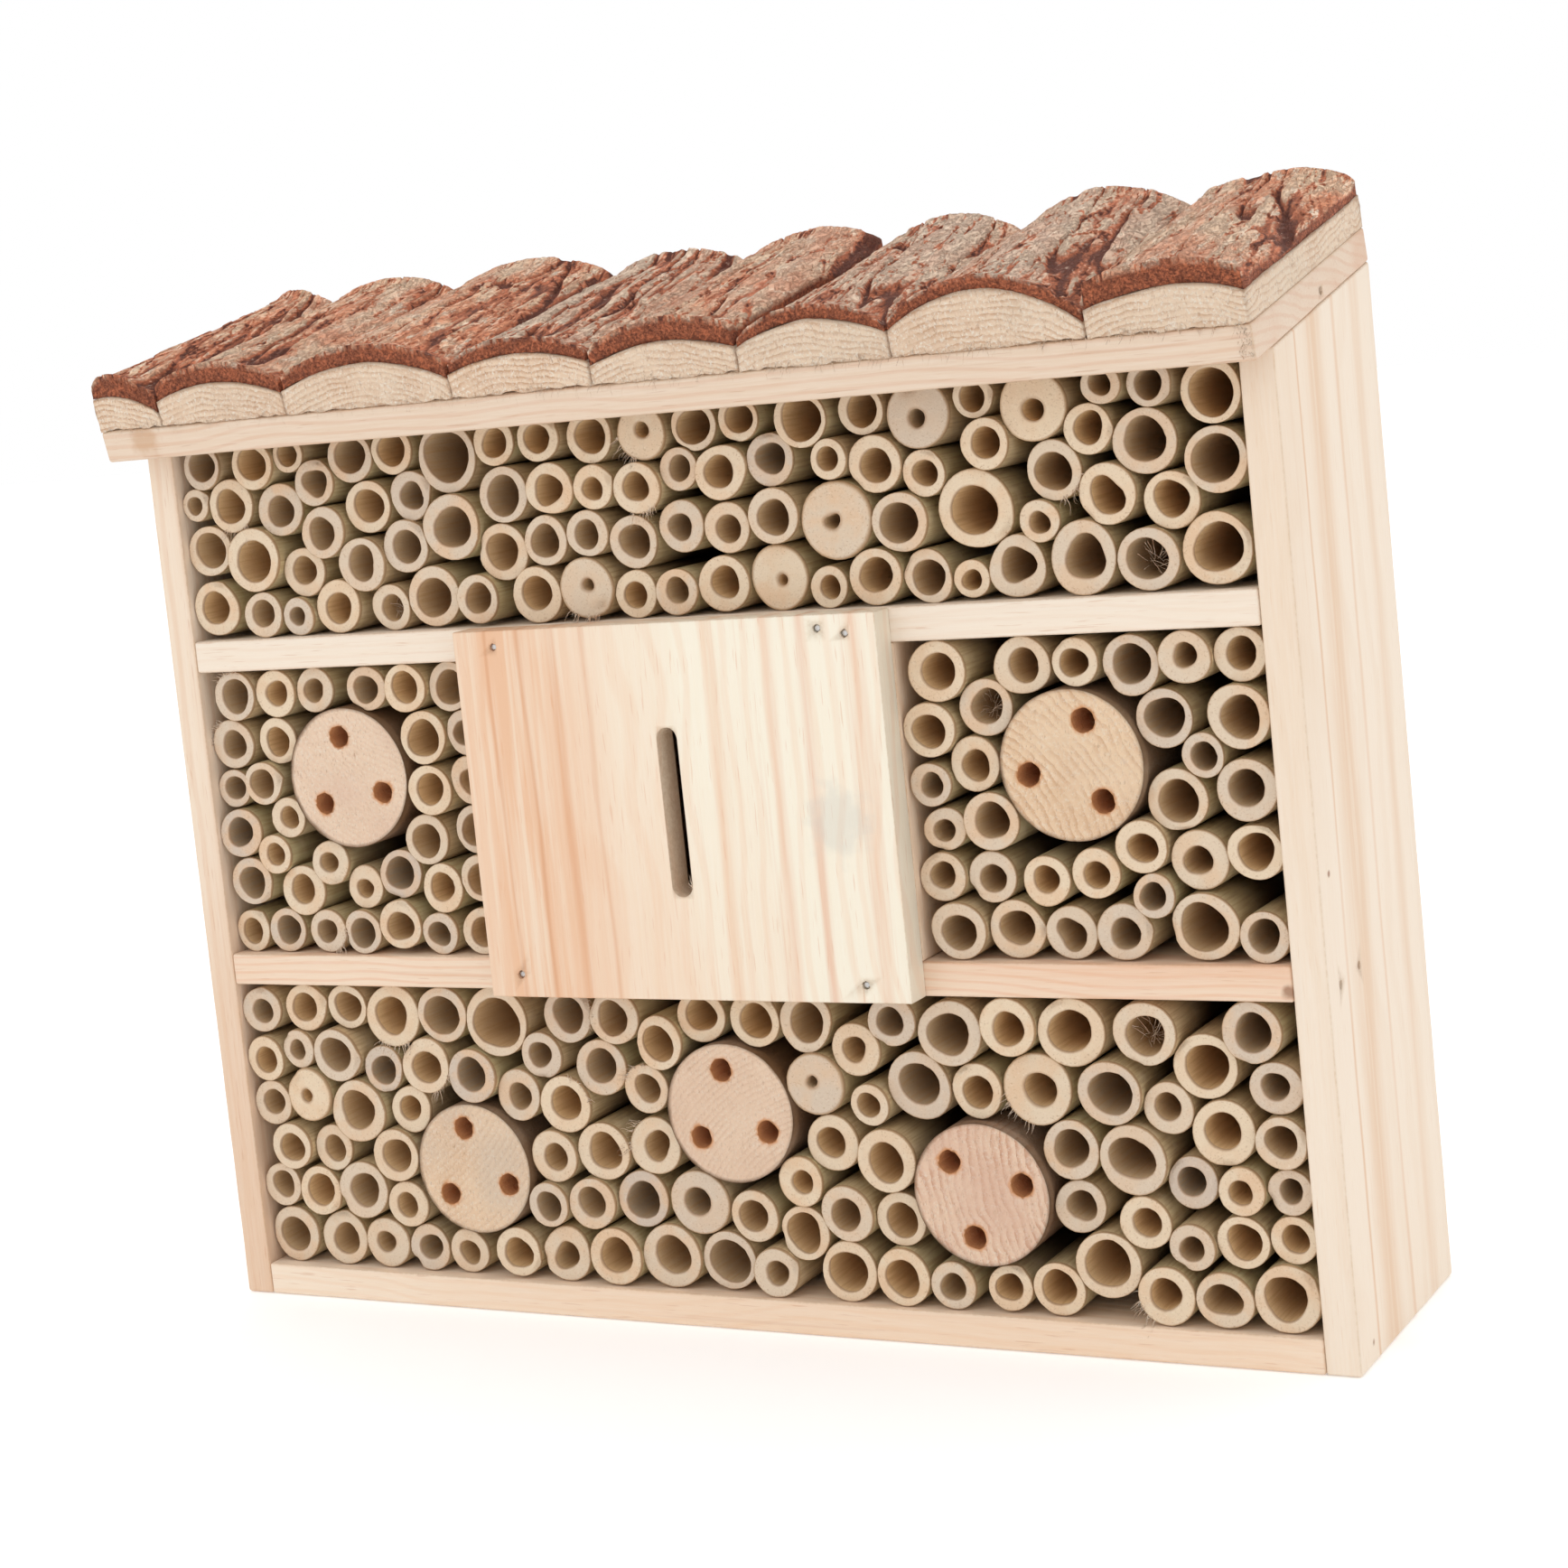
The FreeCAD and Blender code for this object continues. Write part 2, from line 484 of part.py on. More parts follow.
def round_pocket(body, name, x, z, diameter, depth_cut, reversed_way=False):
    """A round hole cut along Y from the plane of its XZ sketch."""
    sketch = sketch_on(body, "XZ_Plane", name)
    sketch.addGeometry(Part.Circle(FreeCAD.Vector(10, 10, 0), FreeCAD.Vector(0, 0, 1), 4), False)
    bind(sketch, "DistanceX", (-1, 1, 0, 3, 10.0), x)
    bind(sketch, "DistanceY", (-1, 1, 0, 3, 10.0), z)
    bind(sketch, "Diameter", (0, 8.0), diameter)
    return pocket(body, sketch, depth_cut, reversed_way)


def back_board():
    """The board behind the canes, between the side boards. Its own origin lies in its outer face.
    Two rebates take the hanger plates, and a round hole behind each plate takes the hook's head."""
    body = new_body("back_board_blank")
    outline = sketch_on(body, "YZ_Plane", "back_outline")
    closed_lines(outline, [(-4, 0), (0, 0), (0, 230), (-4, 229)])
    outline.addConstraint(Sketcher.Constraint("Coincident", 0, 2, -1, 1))
    outline.addConstraint(Sketcher.Constraint("Horizontal", 0))
    outline.addConstraint(Sketcher.Constraint("Vertical", 1))
    outline.addConstraint(Sketcher.Constraint("Vertical", 3))
    bind(outline, "DistanceX", (0, 1, 0, 2, 4.0), "sizes.back_board")
    bind(outline, "DistanceY", (0, 2, 1, 2, 230.0), BACK_HEIGHT)
    bind(outline, "DistanceY", (0, 1, 2, 2, 229.0),
         BACK_HEIGHT + " - sizes.back_board * tan(sizes.roof_pitch * 1 deg)")
    pad(body, outline, INNER_WIDTH)
    for side, sign in (("left", "-"), ("right", "+")):
        centre = "%s / 2 %s sizes.hanger_spacing / 2" % ("(" + INNER_WIDTH + ")", sign)
        square_pocket(
            body, "rebate_" + side, centre + " - sizes.hanger_width / 2 - sizes.hanger_fit",
            PLATE_FOOT + " - sizes.hanger_fit", "sizes.hanger_width + 2 * sizes.hanger_fit",
            "sizes.hanger_height + 2 * sizes.hanger_fit", "sizes.hanger_plate", True)
        round_pocket(
            body, "head_room_" + side, centre, HOOK_HEIGHT, "sizes.head_room",
            "sizes.back_board", True)
    return placed(body, INNER_LEFT, "sizes.box_depth", "0")


# Each plate is screwed to the upper shelf through the back board, its hook hole above the screws.
PLATE_FOOT = "sizes.upper_shelf_height + sizes.board / 2 - sizes.hanger_foot"
HOOK_HEIGHT = "sizes.upper_shelf_height + sizes.board / 2 + sizes.hanger_rise"
cut(back_board(), [back_holes, screw_holes], "back_board")
for side, sign in (("left", "-"), ("right", "")):
    centre = sign + "sizes.hanger_spacing / 2"
    plate = box("hanger_plate_" + side, "sizes.hanger_width", "sizes.hanger_plate",
                "sizes.hanger_height", centre + " - sizes.hanger_width / 2",
                "sizes.box_depth - sizes.hanger_plate", PLATE_FOOT)
    hole = doc.addObject("Part::Cylinder", "hook_hole_" + side)
    hole.setExpression("Radius", "sizes.hanger_hole / 2")
    hole.setExpression("Height", "2 * sizes.back_board")
    placed(hole, centre, "sizes.box_depth + sizes.back_board", HOOK_HEIGHT)
    hole.Placement.Rotation = FreeCAD.Rotation(FreeCAD.Vector(1, 0, 0), 90)
    cut(plate, [screw_holes, hole], "hanger_" + side)

# ---- the roof ----

roof_blank = box(
    "roof_blank", "sizes.box_width + sizes.left_verge",
    "(sizes.box_depth + sizes.eaves) / cos(sizes.roof_pitch * 1 deg)", "sizes.roof_board",
    "-sizes.box_width / 2 - sizes.left_verge", "-sizes.eaves",
    "sizes.front_height - sizes.eaves * tan(sizes.roof_pitch * 1 deg)")
roof_blank.Placement.Rotation = FreeCAD.Rotation(FreeCAD.Vector(1, 0, 0), 0)
roof_blank.setExpression("Placement.Rotation.Axis.x", "1")
roof_blank.setExpression("Placement.Rotation.Axis.y", "0")
roof_blank.setExpression("Placement.Rotation.Axis.z", "0")
roof_blank.setExpression("Placement.Rotation.Angle", "sizes.roof_pitch * 1 deg")
cut(roof_blank, [roof_holes, slab_holes, side_holes["right"]], "roof_board")


def smooth(points):
    """A smooth curve through the points."""
    line = Part.BSplineCurve()
    line.interpolate([FreeCAD.Vector(*p) for p in points])
    return line.toShape()


def straight(a, b):
    return Part.makeLine(FreeCAD.Vector(*a), FreeCAD.Vector(*b))


def crowned(left, right, crown_at, heights, lift):
    """The points of a slab's rounded back: up from its left edge, over the crown, down to the
    right, as heights over the roof board."""
    low_left, crown, low_right = heights
    across = right - left
    middle = left + crown_at * across
    points = []
    for share in (0.0, 0.5):
        fall = (1 - share) ** 2
        points.append((left + (middle - left) * share, lift, crown - (crown - low_left) * fall))
    points.append((middle, lift, crown))
    for share in (0.5, 1.0):
        points.append((middle + (right - middle) * share, lift,
                       crown - (crown - low_right) * share ** 2))
    return points


def slab_shapes(number):
    """The wood and the bark of one slab: the section across it, drawn out up the slope."""
    _, left_high, crown, right_high, crown_at, left_bark, crown_bark, right_bark = SLABS[number]
    left = slab_edges[number] + size("slab_gap") / 2
    right = slab_edges[number + 1] - size("slab_gap") / 2
    foot = size("roof_board")
    wood = crowned(left, right, crown_at,
                   (foot + left_high, foot + crown, foot + right_high), 0)
    wood_face = Part.Face(Part.Wire([
        straight((left, 0, foot), (right, 0, foot)), straight((right, 0, foot), wood[-1]),
        smooth(wood), straight((left, 0, foot), wood[0])]))
    inner = [(x, y, z + size("bark_gap")) for x, y, z in wood]
    outer = crowned(left, right, crown_at,
                    (foot + left_high + left_bark, foot + crown + crown_bark,
                     foot + right_high + right_bark), 0)
    bark_face = Part.Face(Part.Wire([
        smooth(inner), straight(inner[-1], outer[-1]), smooth(outer), straight(inner[0], outer[0])]))
    run = FreeCAD.Vector(0, roof_length, 0)
    return wood_face.extrude(run), bark_face.extrude(run)


roof_place = FreeCAD.Placement(
    FreeCAD.Vector(0, -size("eaves"), size("front_height") - size("eaves") * math.tan(pitch)),
    FreeCAD.Rotation(FreeCAD.Vector(1, 0, 0), size("roof_pitch")))
for number in range(len(SLABS)):
    wood, bark = slab_shapes(number)
    slab = doc.addObject("Part::Feature", "slab_blank_%d" % (number + 1))
    slab.Shape = wood
    slab.Placement = roof_place
    cut(slab, [slab_holes], "roof_slab_%d" % (number + 1))
    skin = doc.addObject("Part::Feature", "roof_bark_%d" % (number + 1))
    skin.Shape = bark
    skin.Placement = roof_place
    kept["roof_bark_%d" % (number + 1)] = skin

# ---- the stack ----

inner_left = -half_width + board
inner_right = half_width - board
gap = size("stack_gap")
# Each bay: its left wall, its right wall, its floor and its ceiling, as read at its front.
BAYS = {
    "bottom": (inner_left, inner_right, board, size("lower_shelf_height")),
    "left": (inner_left, chamber_left, size("lower_shelf_height") + board,
             size("upper_shelf_height")),
    "right": (chamber_right, inner_right, size("lower_shelf_height") + board,
              size("upper_shelf_height")),
    "top": (inner_left, inner_right, size("upper_shelf_height") + board, size("front_height")),
}
# The size of bay that each list of canes fills once, and the left edge of that list.
PATTERNS = {
    "bottom": (-142, 284, 74), "left": (-142, 84.5, 73), "right": (55.5, 86.5, 73),
    "top": (-142, 284, 50),
}


def kept_in(value, low, high):
    return max(low, min(high, value))


log_places = {}
for name, (bay, across, up, diameter, _) in LOGS.items():
    left, right, floor, ceiling = BAYS[bay]
    reach = diameter / 2 + gap
    log_places[name] = (
        kept_in(left + across, left + reach, right - reach),
        kept_in(floor + up, floor + reach, ceiling - reach), diameter / 2)


def canes_of(bay):
    """Every cane wanted in a bay: the list once, and again beside or above it if the bay is larger
    than the list, less those whose axis falls outside the bay or inside a log."""
    left, right, floor, ceiling = BAYS[bay]
    start, width, height = PATTERNS[bay]
    wanted = []
    for across in range(math.ceil((right - left - 1) / width)):
        for up in range(math.ceil((ceiling - floor - 1) / height)):
            for x, z, outside, bore in CANES[bay]:
                cx = left + x - start + across * width
                cz = floor + z + up * height
                reach = 0.2 * outside
                if cx > right - reach or cz > ceiling - reach:
                    continue
                if any(math.hypot(cx - lx, cz - lz) < lr for lx, lz, lr in log_places.values()):
                    continue
                wanted.append([cx, cz, outside / 2, bore / 2])
    return wanted


def settle(canes, bay):
    """Pushes the canes of a bay apart, off the logs and off the walls, a little at a time."""
    left, right, floor, ceiling = BAYS[bay]
    logs = [log_places[name] for name in LOGS if LOGS[name][0] == bay]
    for _ in range(600):
        for i, one in enumerate(canes):
            for other in canes[i + 1:]:
                dx = other[0] - one[0]
                dz = other[1] - one[1]
                apart = math.hypot(dx, dz) or 0.01
                short = one[2] + other[2] + gap - apart
                if short > 0:
                    push = 0.5 * short / apart
                    one[0] -= dx * push
                    one[1] -= dz * push
                    other[0] += dx * push
                    other[1] += dz * push
            for lx, lz, lr in logs:
                dx = one[0] - lx
                dz = one[1] - lz
                apart = math.hypot(dx, dz) or 0.01
                short = one[2] + lr + gap - apart
                if short > 0:
                    one[0] += dx * short / apart
                    one[1] += dz * short / apart
            reach = one[2] + gap
            one[0] = kept_in(one[0], left + reach, right - reach)
            one[1] = kept_in(one[1], floor + reach, ceiling - reach)


def room_for(cane, others, bay):
    """The largest radius this cane can have where it lies."""
    left, right, floor, ceiling = BAYS[bay]
    rooms = [cane[0] - left, right - cane[0], cane[1] - floor, ceiling - cane[1]]
    for other in others:
        if other is not cane:
            rooms.append(math.hypot(cane[0] - other[0], cane[1] - other[1]) - other[2])
    for name, (lx, lz, lr) in log_places.items():
        if LOGS[name][0] == bay:
            rooms.append(math.hypot(cane[0] - lx, cane[1] - lz) - lr)
    return min(rooms) - gap


stack = {}
for bay, courses in COURSES.items():
    canes = canes_of(bay)
    settle(canes, bay)
    # A place that is a little tight takes a thinner cane, and one that is far too tight takes none.
    for cane in list(canes):
        room = room_for(cane, canes, bay)
        if room < 0.85 * cane[2]:
            canes.remove(cane)
            continue
        cane[3] *= min(1, room / cane[2])
        cane[2] = min(cane[2], room)
    canes.sort(key=lambda cane: cane[1])
    for course in range(courses):
        first = course * len(canes) // courses
        last = (course + 1) * len(canes) // courses
        stack["canes_%s_%d" % (bay, course + 1)] = canes[first:last]


def cane_shape(number, x, z, outer, bore):
    """A cane, open at the front and closed at the back by one of its knots."""
    start = size("cane_setback") + size("cane_stagger") * ((number * 7 + 3) % 11) / 11
    length = shelf_depth - gap - start
    along = FreeCAD.Vector(0, 1, 0)
    mouth = FreeCAD.Vector(x, start, z)
    tube = Part.makeCylinder(outer, length, mouth, along)
    hollow = Part.makeCylinder(bore, length - size("cane_knot"), mouth, along)
    return tube.cut(hollow)


for name, canes in stack.items():
    kept[name] = solids(name, [cane_shape(i, *cane) for i, cane in enumerate(canes)])


def log(name):
    """A length of branch with three blind holes set round its axis."""
    x, z, radius = log_places[name]
    body = new_body(name)
    end = sketch_on(body, "XZ_Plane", name + "_end")
    end.addGeometry(Part.Circle(FreeCAD.Vector(0, 0, 0), FreeCAD.Vector(0, 0, 1), radius), False)
    end.addConstraint(Sketcher.Constraint("Coincident", 0, 3, -1, 1))
    end.addConstraint(Sketcher.Constraint("Diameter", 0, 2 * radius))
    pad(body, end, SHELF_DEPTH + " - sizes.log_setback - sizes.stack_gap", True)
    first = math.radians(LOGS[name][4])
    hole_x = "sizes.log_hole_circle * %.6f" % math.cos(first)
    hole_z = "sizes.log_hole_circle * %.6f" % math.sin(first)
    sketch = sketch_on(body, "XZ_Plane", name + "_hole")
    centre = FreeCAD.Vector(10 * math.cos(first), 10 * math.sin(first), 0)
    sketch.addGeometry(Part.Circle(centre, FreeCAD.Vector(0, 0, 1), 2), False)
    bind(sketch, "DistanceX", (-1, 1, 0, 3, centre.x), hole_x)
    bind(sketch, "DistanceY", (-1, 1, 0, 3, centre.y), hole_z)
    bind(sketch, "Diameter", (0, 4.0), "sizes.log_hole")
    hole = pocket(body, sketch, "min(sizes.log_hole_depth; %s - sizes.board)" % SHELF_DEPTH)
    ring = body.newObject("PartDesign::PolarPattern", name + "_holes")
    ring.Originals = [hole]
    ring.Axis = (sketch, ["N_Axis"])
    ring.Angle = 360
    ring.Occurrences = 3
    body.Tip = ring
    placed(body, str(x), "sizes.log_setback", str(z))
    kept[name] = body


for name in LOGS:
    log(name)

# ---- writing out ----

# The origin goes from the box's front plane to the middle of its depth.
for item in kept.values():
    bound = dict(item.ExpressionEngine).get("Placement.Base.y", str(item.Placement.Base.y))
    item.setExpression("Placement.Base.y", bound + " - sizes.box_depth / 2")
doc.recompute()
for item in doc.Objects:
    if "Invalid" in item.State or "Error" in item.State:
        raise RuntimeError(item.Name + " is not sound")
os.makedirs("parts", exist_ok=True)
for name, item in kept.items():
    item.Label = name
    if item.Shape.isNull() or not item.Shape.isValid():
        raise RuntimeError(name + " has no sound shape")
    item.Shape.exportStep("parts/%s.step" % name)
print("pieces:", len(kept), "canes:", sum(len(canes) for canes in stack.values()))
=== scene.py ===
import bpy
import math
import numpy as np
from mathutils import Matrix, Vector


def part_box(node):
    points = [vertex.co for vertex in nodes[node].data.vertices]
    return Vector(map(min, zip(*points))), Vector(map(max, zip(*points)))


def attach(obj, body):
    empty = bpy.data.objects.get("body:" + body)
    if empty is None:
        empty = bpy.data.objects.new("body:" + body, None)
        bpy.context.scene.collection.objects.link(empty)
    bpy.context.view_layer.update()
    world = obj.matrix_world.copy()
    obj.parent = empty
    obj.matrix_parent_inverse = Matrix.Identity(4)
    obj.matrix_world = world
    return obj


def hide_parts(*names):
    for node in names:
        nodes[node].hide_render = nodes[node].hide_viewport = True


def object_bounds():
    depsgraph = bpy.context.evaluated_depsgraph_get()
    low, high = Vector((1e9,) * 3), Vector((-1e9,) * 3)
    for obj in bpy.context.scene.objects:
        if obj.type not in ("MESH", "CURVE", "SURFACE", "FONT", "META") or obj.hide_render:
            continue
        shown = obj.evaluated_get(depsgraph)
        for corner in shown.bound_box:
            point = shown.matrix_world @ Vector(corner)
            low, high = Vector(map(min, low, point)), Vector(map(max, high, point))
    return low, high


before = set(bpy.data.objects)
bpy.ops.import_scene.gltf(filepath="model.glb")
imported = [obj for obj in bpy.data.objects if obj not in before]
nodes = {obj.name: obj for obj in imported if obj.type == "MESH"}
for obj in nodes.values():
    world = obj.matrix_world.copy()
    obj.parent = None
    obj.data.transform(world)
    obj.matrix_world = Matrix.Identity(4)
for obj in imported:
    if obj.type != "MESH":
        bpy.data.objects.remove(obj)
cadBox = [list(corner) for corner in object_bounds()]
print("frame loaded:", len(nodes), "pieces")

# numbers that look random but never change


def hashed(ix, iy, iz, seed):
    # mixes three whole numbers and a seed into a value from 0 to 1
    n = (ix * 73856093) ^ (iy * 19349663) ^ (iz * 83492791) ^ (seed * 265443576)
    n = ((n ^ (n >> 13)) * 1274126177) & 0x7FFFFFFF
    n = ((n ^ (n >> 15)) * 668265263) & 0x7FFFFFFF
    return ((n ^ (n >> 16)) & 0xFFFF) / 65535.0


def softNoise(p, seed):
    # value noise: the eight corner values of each unit cell, blended with a smooth step
    cell = np.floor(p)
    i = cell.astype(np.int64)
    t = p - cell
    t = t * t * (3 - 2 * t)
    total = np.zeros(p.shape[:-1])
    for dx in (0, 1):
        for dy in (0, 1):
            for dz in (0, 1):
                w = ((t[..., 0] if dx else 1 - t[..., 0]) * (t[..., 1] if dy else 1 - t[..., 1])
                     * (t[..., 2] if dz else 1 - t[..., 2]))
                total += w * hashed(i[..., 0] + dx, i[..., 1] + dy, i[..., 2] + dz, seed)
    return total


def roughNoise(p, seed, octaves=4, fall=0.5):
    # soft noise at doubling scales, each weaker than the last, from -1 to 1
    total, size, weight = 0.0, 1.0, 0.0
    for k in range(octaves):
        total = total + size * (2 * softNoise(p * 2.0 ** k + 17.3 * k, seed + k) - 1)
        weight += size
        size *= fall
    return total / weight


def noiseAt(x, y, z, seed, octaves=4, fall=0.5):
    # the same noise at three arrays of coordinates
    return roughNoise(np.stack([x, y, z], -1), seed, octaves, fall)


def stepUp(x, low, high):
    # 0 below low, 1 above high, a smooth step between
    t = np.clip((x - low) / (high - low), 0, 1)
    return t * t * (3 - 2 * t)


# meshes


def linked(name, data):
    # an object with that data, put into the scene
    thing = bpy.data.objects.new(name, data)
    bpy.context.scene.collection.objects.link(thing)
    return thing


def makePiece(name, points, faces, material, spot=None, section=None, replaces=()):
    # points and faces as arrays; spot is four numbers a point, section is two numbers a point
    mesh = bpy.data.meshes.new(name)
    mesh.from_pydata(points.tolist(), [], faces.tolist())
    mesh.polygons.foreach_set("use_smooth", np.ones(len(mesh.polygons), bool))
    if spot is not None:
        layer = mesh.attributes.new("spot", "FLOAT_COLOR", "POINT")
        layer.data.foreach_set("color", np.asarray(spot, np.float32).ravel())
    if section is not None:
        corners = np.zeros(len(mesh.loops), np.int32)
        mesh.loops.foreach_get("vertex_index", corners)
        layer = mesh.uv_layers.new(name="section")
        layer.data.foreach_set("uv", np.asarray(section, np.float32)[corners].ravel())
    mesh.materials.append(material)
    mesh.validate()
    piece = linked(name, mesh)
    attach(piece, "root")
    if replaces:
        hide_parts(*replaces)
    return piece


def tubeFaces(rows, around, start=0):
    # quads of a grid that closes round its second direction
    i, j = np.meshgrid(np.arange(rows - 1), np.arange(around), indexing="ij")
    k = (j + 1) % around
    return np.stack([i * around + j, (i + 1) * around + j, (i + 1) * around + k, i * around + k],
                    -1).reshape(-1, 4) + start


def blockSurface(xs, ys, zs):
    # the closed skin of a block, gridded at the given steps: whole-number places and outward quads
    steps = [len(xs), len(ys), len(zs)]
    places, quads, count = [], [], 0
    for axis in range(3):
        b, c = (axis + 1) % 3, (axis + 2) % 3
        nb, nc = steps[b], steps[c]
        for side in (0, steps[axis] - 1):
            jb, jc = np.meshgrid(np.arange(nb), np.arange(nc), indexing="ij")
            grid = np.zeros((nb * nc, 3), np.int64)
            grid[:, axis] = side
            grid[:, b] = jb.ravel()
            grid[:, c] = jc.ravel()
            places.append(grid)
            i, j = np.meshgrid(np.arange(nb - 1), np.arange(nc - 1), indexing="ij")
            q = np.stack([i * nc + j, (i + 1) * nc + j, (i + 1) * nc + j + 1, i * nc + j + 1], -1)
            q = q.reshape(-1, 4) + count
            quads.append(q if side else q[:, ::-1])
            count += nb * nc
    lattice, back = np.unique(np.concatenate(places), axis=0, return_inverse=True)
    points = np.stack([np.asarray(xs)[lattice[:, 0]], np.asarray(ys)[lattice[:, 1]],
                       np.asarray(zs)[lattice[:, 2]]], -1)
    return points, back.reshape(-1)[np.concatenate(quads)]


def steps(low, high, edge, gap):
    # places along one side of a board: close together in its rounded edges, even between them
    inner = np.linspace(low + edge, high - edge, max(2, int(round((high - low) / gap)) + 1))
    return np.concatenate([[low, low + 0.3 * edge, low + 0.65 * edge], inner,
                           [high - 0.65 * edge, high - 0.3 * edge, high]])


def softBoard(low, high, edge, gap, seed, rough=0.00006):
    # a board whose edges are rounded to a radius that wanders: each point is pulled to a sphere
    # or cylinder about the nearest point of the board shrunk by that radius
    low, high = np.asarray(low, float), np.asarray(high, float)
    points, quads = blockSurface(*[steps(low[k], high[k], edge, gap) for k in range(3)])
    inside = np.clip(points, low + edge, high - edge)
    way = points - inside
    reach = np.linalg.norm(way, axis=1, keepdims=True)
    way = way / np.maximum(reach, 1e-9)
    wander = 1 - 0.35 * roughNoise(points * 160, seed)[:, None] ** 2
    onFace = np.abs(way).max(1, keepdims=True) > 0.999
    points = inside + way * edge * wander + way * (1 - wander) * edge * onFace
    edgeness = 1 - stepUp(np.abs(way).max(1), 0.72, 0.999)
    points = points + way * rough * roughNoise(points * np.array([90, 90, 90]), seed + 5)[:, None]
    spot = np.stack([edgeness, np.full(len(points), (seed % 17) / 17), points[:, 0] * 0,
                     np.ones(len(points))], -1)
    return points, quads, spot


def islandsOf(name):
    # the separate solids of a CAD piece, as arrays of their points
    mesh = nodes[name].data
    co = np.zeros(len(mesh.vertices) * 3)
    mesh.vertices.foreach_get("co", co)
    co = co.reshape(-1, 3)
    mesh.calc_loop_triangles()
    tri = np.zeros(len(mesh.loop_triangles) * 3, np.int64)
    mesh.loop_triangles.foreach_get("vertices", tri)
    key, back = np.unique(np.round(co * 1e6).astype(np.int64), axis=0, return_inverse=True)
    tri = back.reshape(-1)[tri].reshape(-1, 3)
    mark = np.arange(len(key))
    while True:
        low = mark[tri].min(1)
        new = mark.copy()
        np.minimum.at(new, tri.ravel(), np.repeat(low, 3))
        new = new[new]
        if (new == mark).all():
            break
        mark = new
    return [key[mark == m] / 1e6 for m in np.unique(mark)]


def cutAway(piece, cutters):
    # takes closed shapes out of a piece and keeps the result as its mesh
    for cutter in cutters:
        cut = piece.modifiers.new("cut", "BOOLEAN")
        cut.operation = "DIFFERENCE"
        cut.solver = "EXACT"
        cut.object = cutter
    bpy.context.view_layer.update()
    graph = bpy.context.evaluated_depsgraph_get()
    mesh = bpy.data.meshes.new_from_object(piece.evaluated_get(graph))
    piece.modifiers.clear()
    piece.data = mesh
    for cutter in cutters:
        bpy.data.objects.remove(cutter)
    return piece


def roundCutter(start, along, radius, length, seed=0, ragged=0.0, sides=20):
    # a closed round bar from a point in a direction, its radius ragged if wanted
    along = Vector(along).normalized()
    turn = np.array(along.to_track_quat("Z", "Y").to_matrix())
    t = np.linspace(0, 2 * math.pi, sides, endpoint=False)
    rows = np.linspace(-0.001, length, 5)
    ring = np.stack([np.cos(t), np.sin(t), 0 * t], -1)
    grow = 1 + ragged * noiseAt(3 * np.cos(t), 3 * np.sin(t), 0 * t, seed, 3)
    points = [ring * (radius * grow * (1 + ragged * 0.6 * (k < 1)))[:, None] + [0, 0, row]
              for k, row in enumerate(rows)]
    points = np.concatenate(points + [np.array([[0, 0, rows[0]], [0, 0, rows[-1]]])])
    points = points @ turn.T + np.array(start)
    faces = tubeFaces(5, sides)[:, ::-1].tolist()
    n = 5 * sides
    faces += [[n, (j + 1) % sides, j] for j in range(sides)]
    faces += [[n + 1, 4 * sides + j, 4 * sides + (j + 1) % sides] for j in range(sides)]
    mesh = bpy.data.meshes.new("cutter")
    mesh.from_pydata(points.tolist(), [], faces)
    cutter = linked("cutter", mesh)
    return cutter


# shader helpers


def newTree(tree):
    # short ways to add and join the nodes of one tree
    def add(kind, **values):
        node = tree.nodes.new(kind)
        for key, value in values.items():
            if key.startswith("in"):
                socket = node.inputs[int(key[2:])]
                if isinstance(value, bpy.types.NodeSocket):
                    tree.links.new(value, socket)
                else:
                    socket.default_value = value
            else:
                setattr(node, key, value)
        return node

    def maths(kind, a, b=0.0, clamp=False):
        node = add("ShaderNodeMath", operation=kind, in0=a, in1=b)
        node.use_clamp = clamp
        return node.outputs[0]

    def vector(kind, a, b):
        return add("ShaderNodeVectorMath", operation=kind, in0=a, in1=b).outputs[0]

    def mix(amount, a, b, kind="MIX"):
        node = add("ShaderNodeMix", data_type="RGBA", blend_type=kind)
        for socket, value in ((node.inputs[0], amount), (node.inputs[6], a), (node.inputs[7], b)):
            if isinstance(value, bpy.types.NodeSocket):
                tree.links.new(value, socket)
            else:
                socket.default_value = value
        return node.outputs[2]

    def noise(where, scale, detail=3.0, rough=0.55, warp=0.0):
        node = add("ShaderNodeTexNoise", in0=where)
        node.inputs["Scale"].default_value = scale
        node.inputs["Detail"].default_value = detail
        node.inputs["Roughness"].default_value = rough
        node.inputs["Distortion"].default_value = warp
        return node.outputs["Fac"]

    def between(value, low, high, a=0.0, b=1.0, smooth=True):
        node = add("ShaderNodeMapRange", in0=value, in1=low, in2=high, in3=a, in4=b)
        if smooth:
            node.interpolation_type = "SMOOTHSTEP"
        return node.outputs[0]

    return add, maths, vector, mix, noise, between


def newGroup(name, inputs, outputs):
    group = bpy.data.node_groups.new(name, "ShaderNodeTree")
    for label, kind, value in inputs:
        socket = group.interface.new_socket(name=label, in_out="INPUT", socket_type=kind)
        if value is not None:
            socket.default_value = value
    for label, kind in outputs:
        group.interface.new_socket(name=label, in_out="OUTPUT", socket_type=kind)
    return group, group.nodes.new("NodeGroupInput").outputs, group.nodes.new("NodeGroupOutput").inputs


def colour(r, g, b):
    # an sRGB colour from 0 to 255 as the linear values a shader takes
    return tuple(((c / 255 + 0.055) / 1.055) ** 2.4 if c > 10 else c / 3294.6 for c in (r, g, b)) + (1.0,)


floatSocket, colourSocket, vectorSocket = "NodeSocketFloat", "NodeSocketColor", "NodeSocketVector"

# effects that more than one finish uses


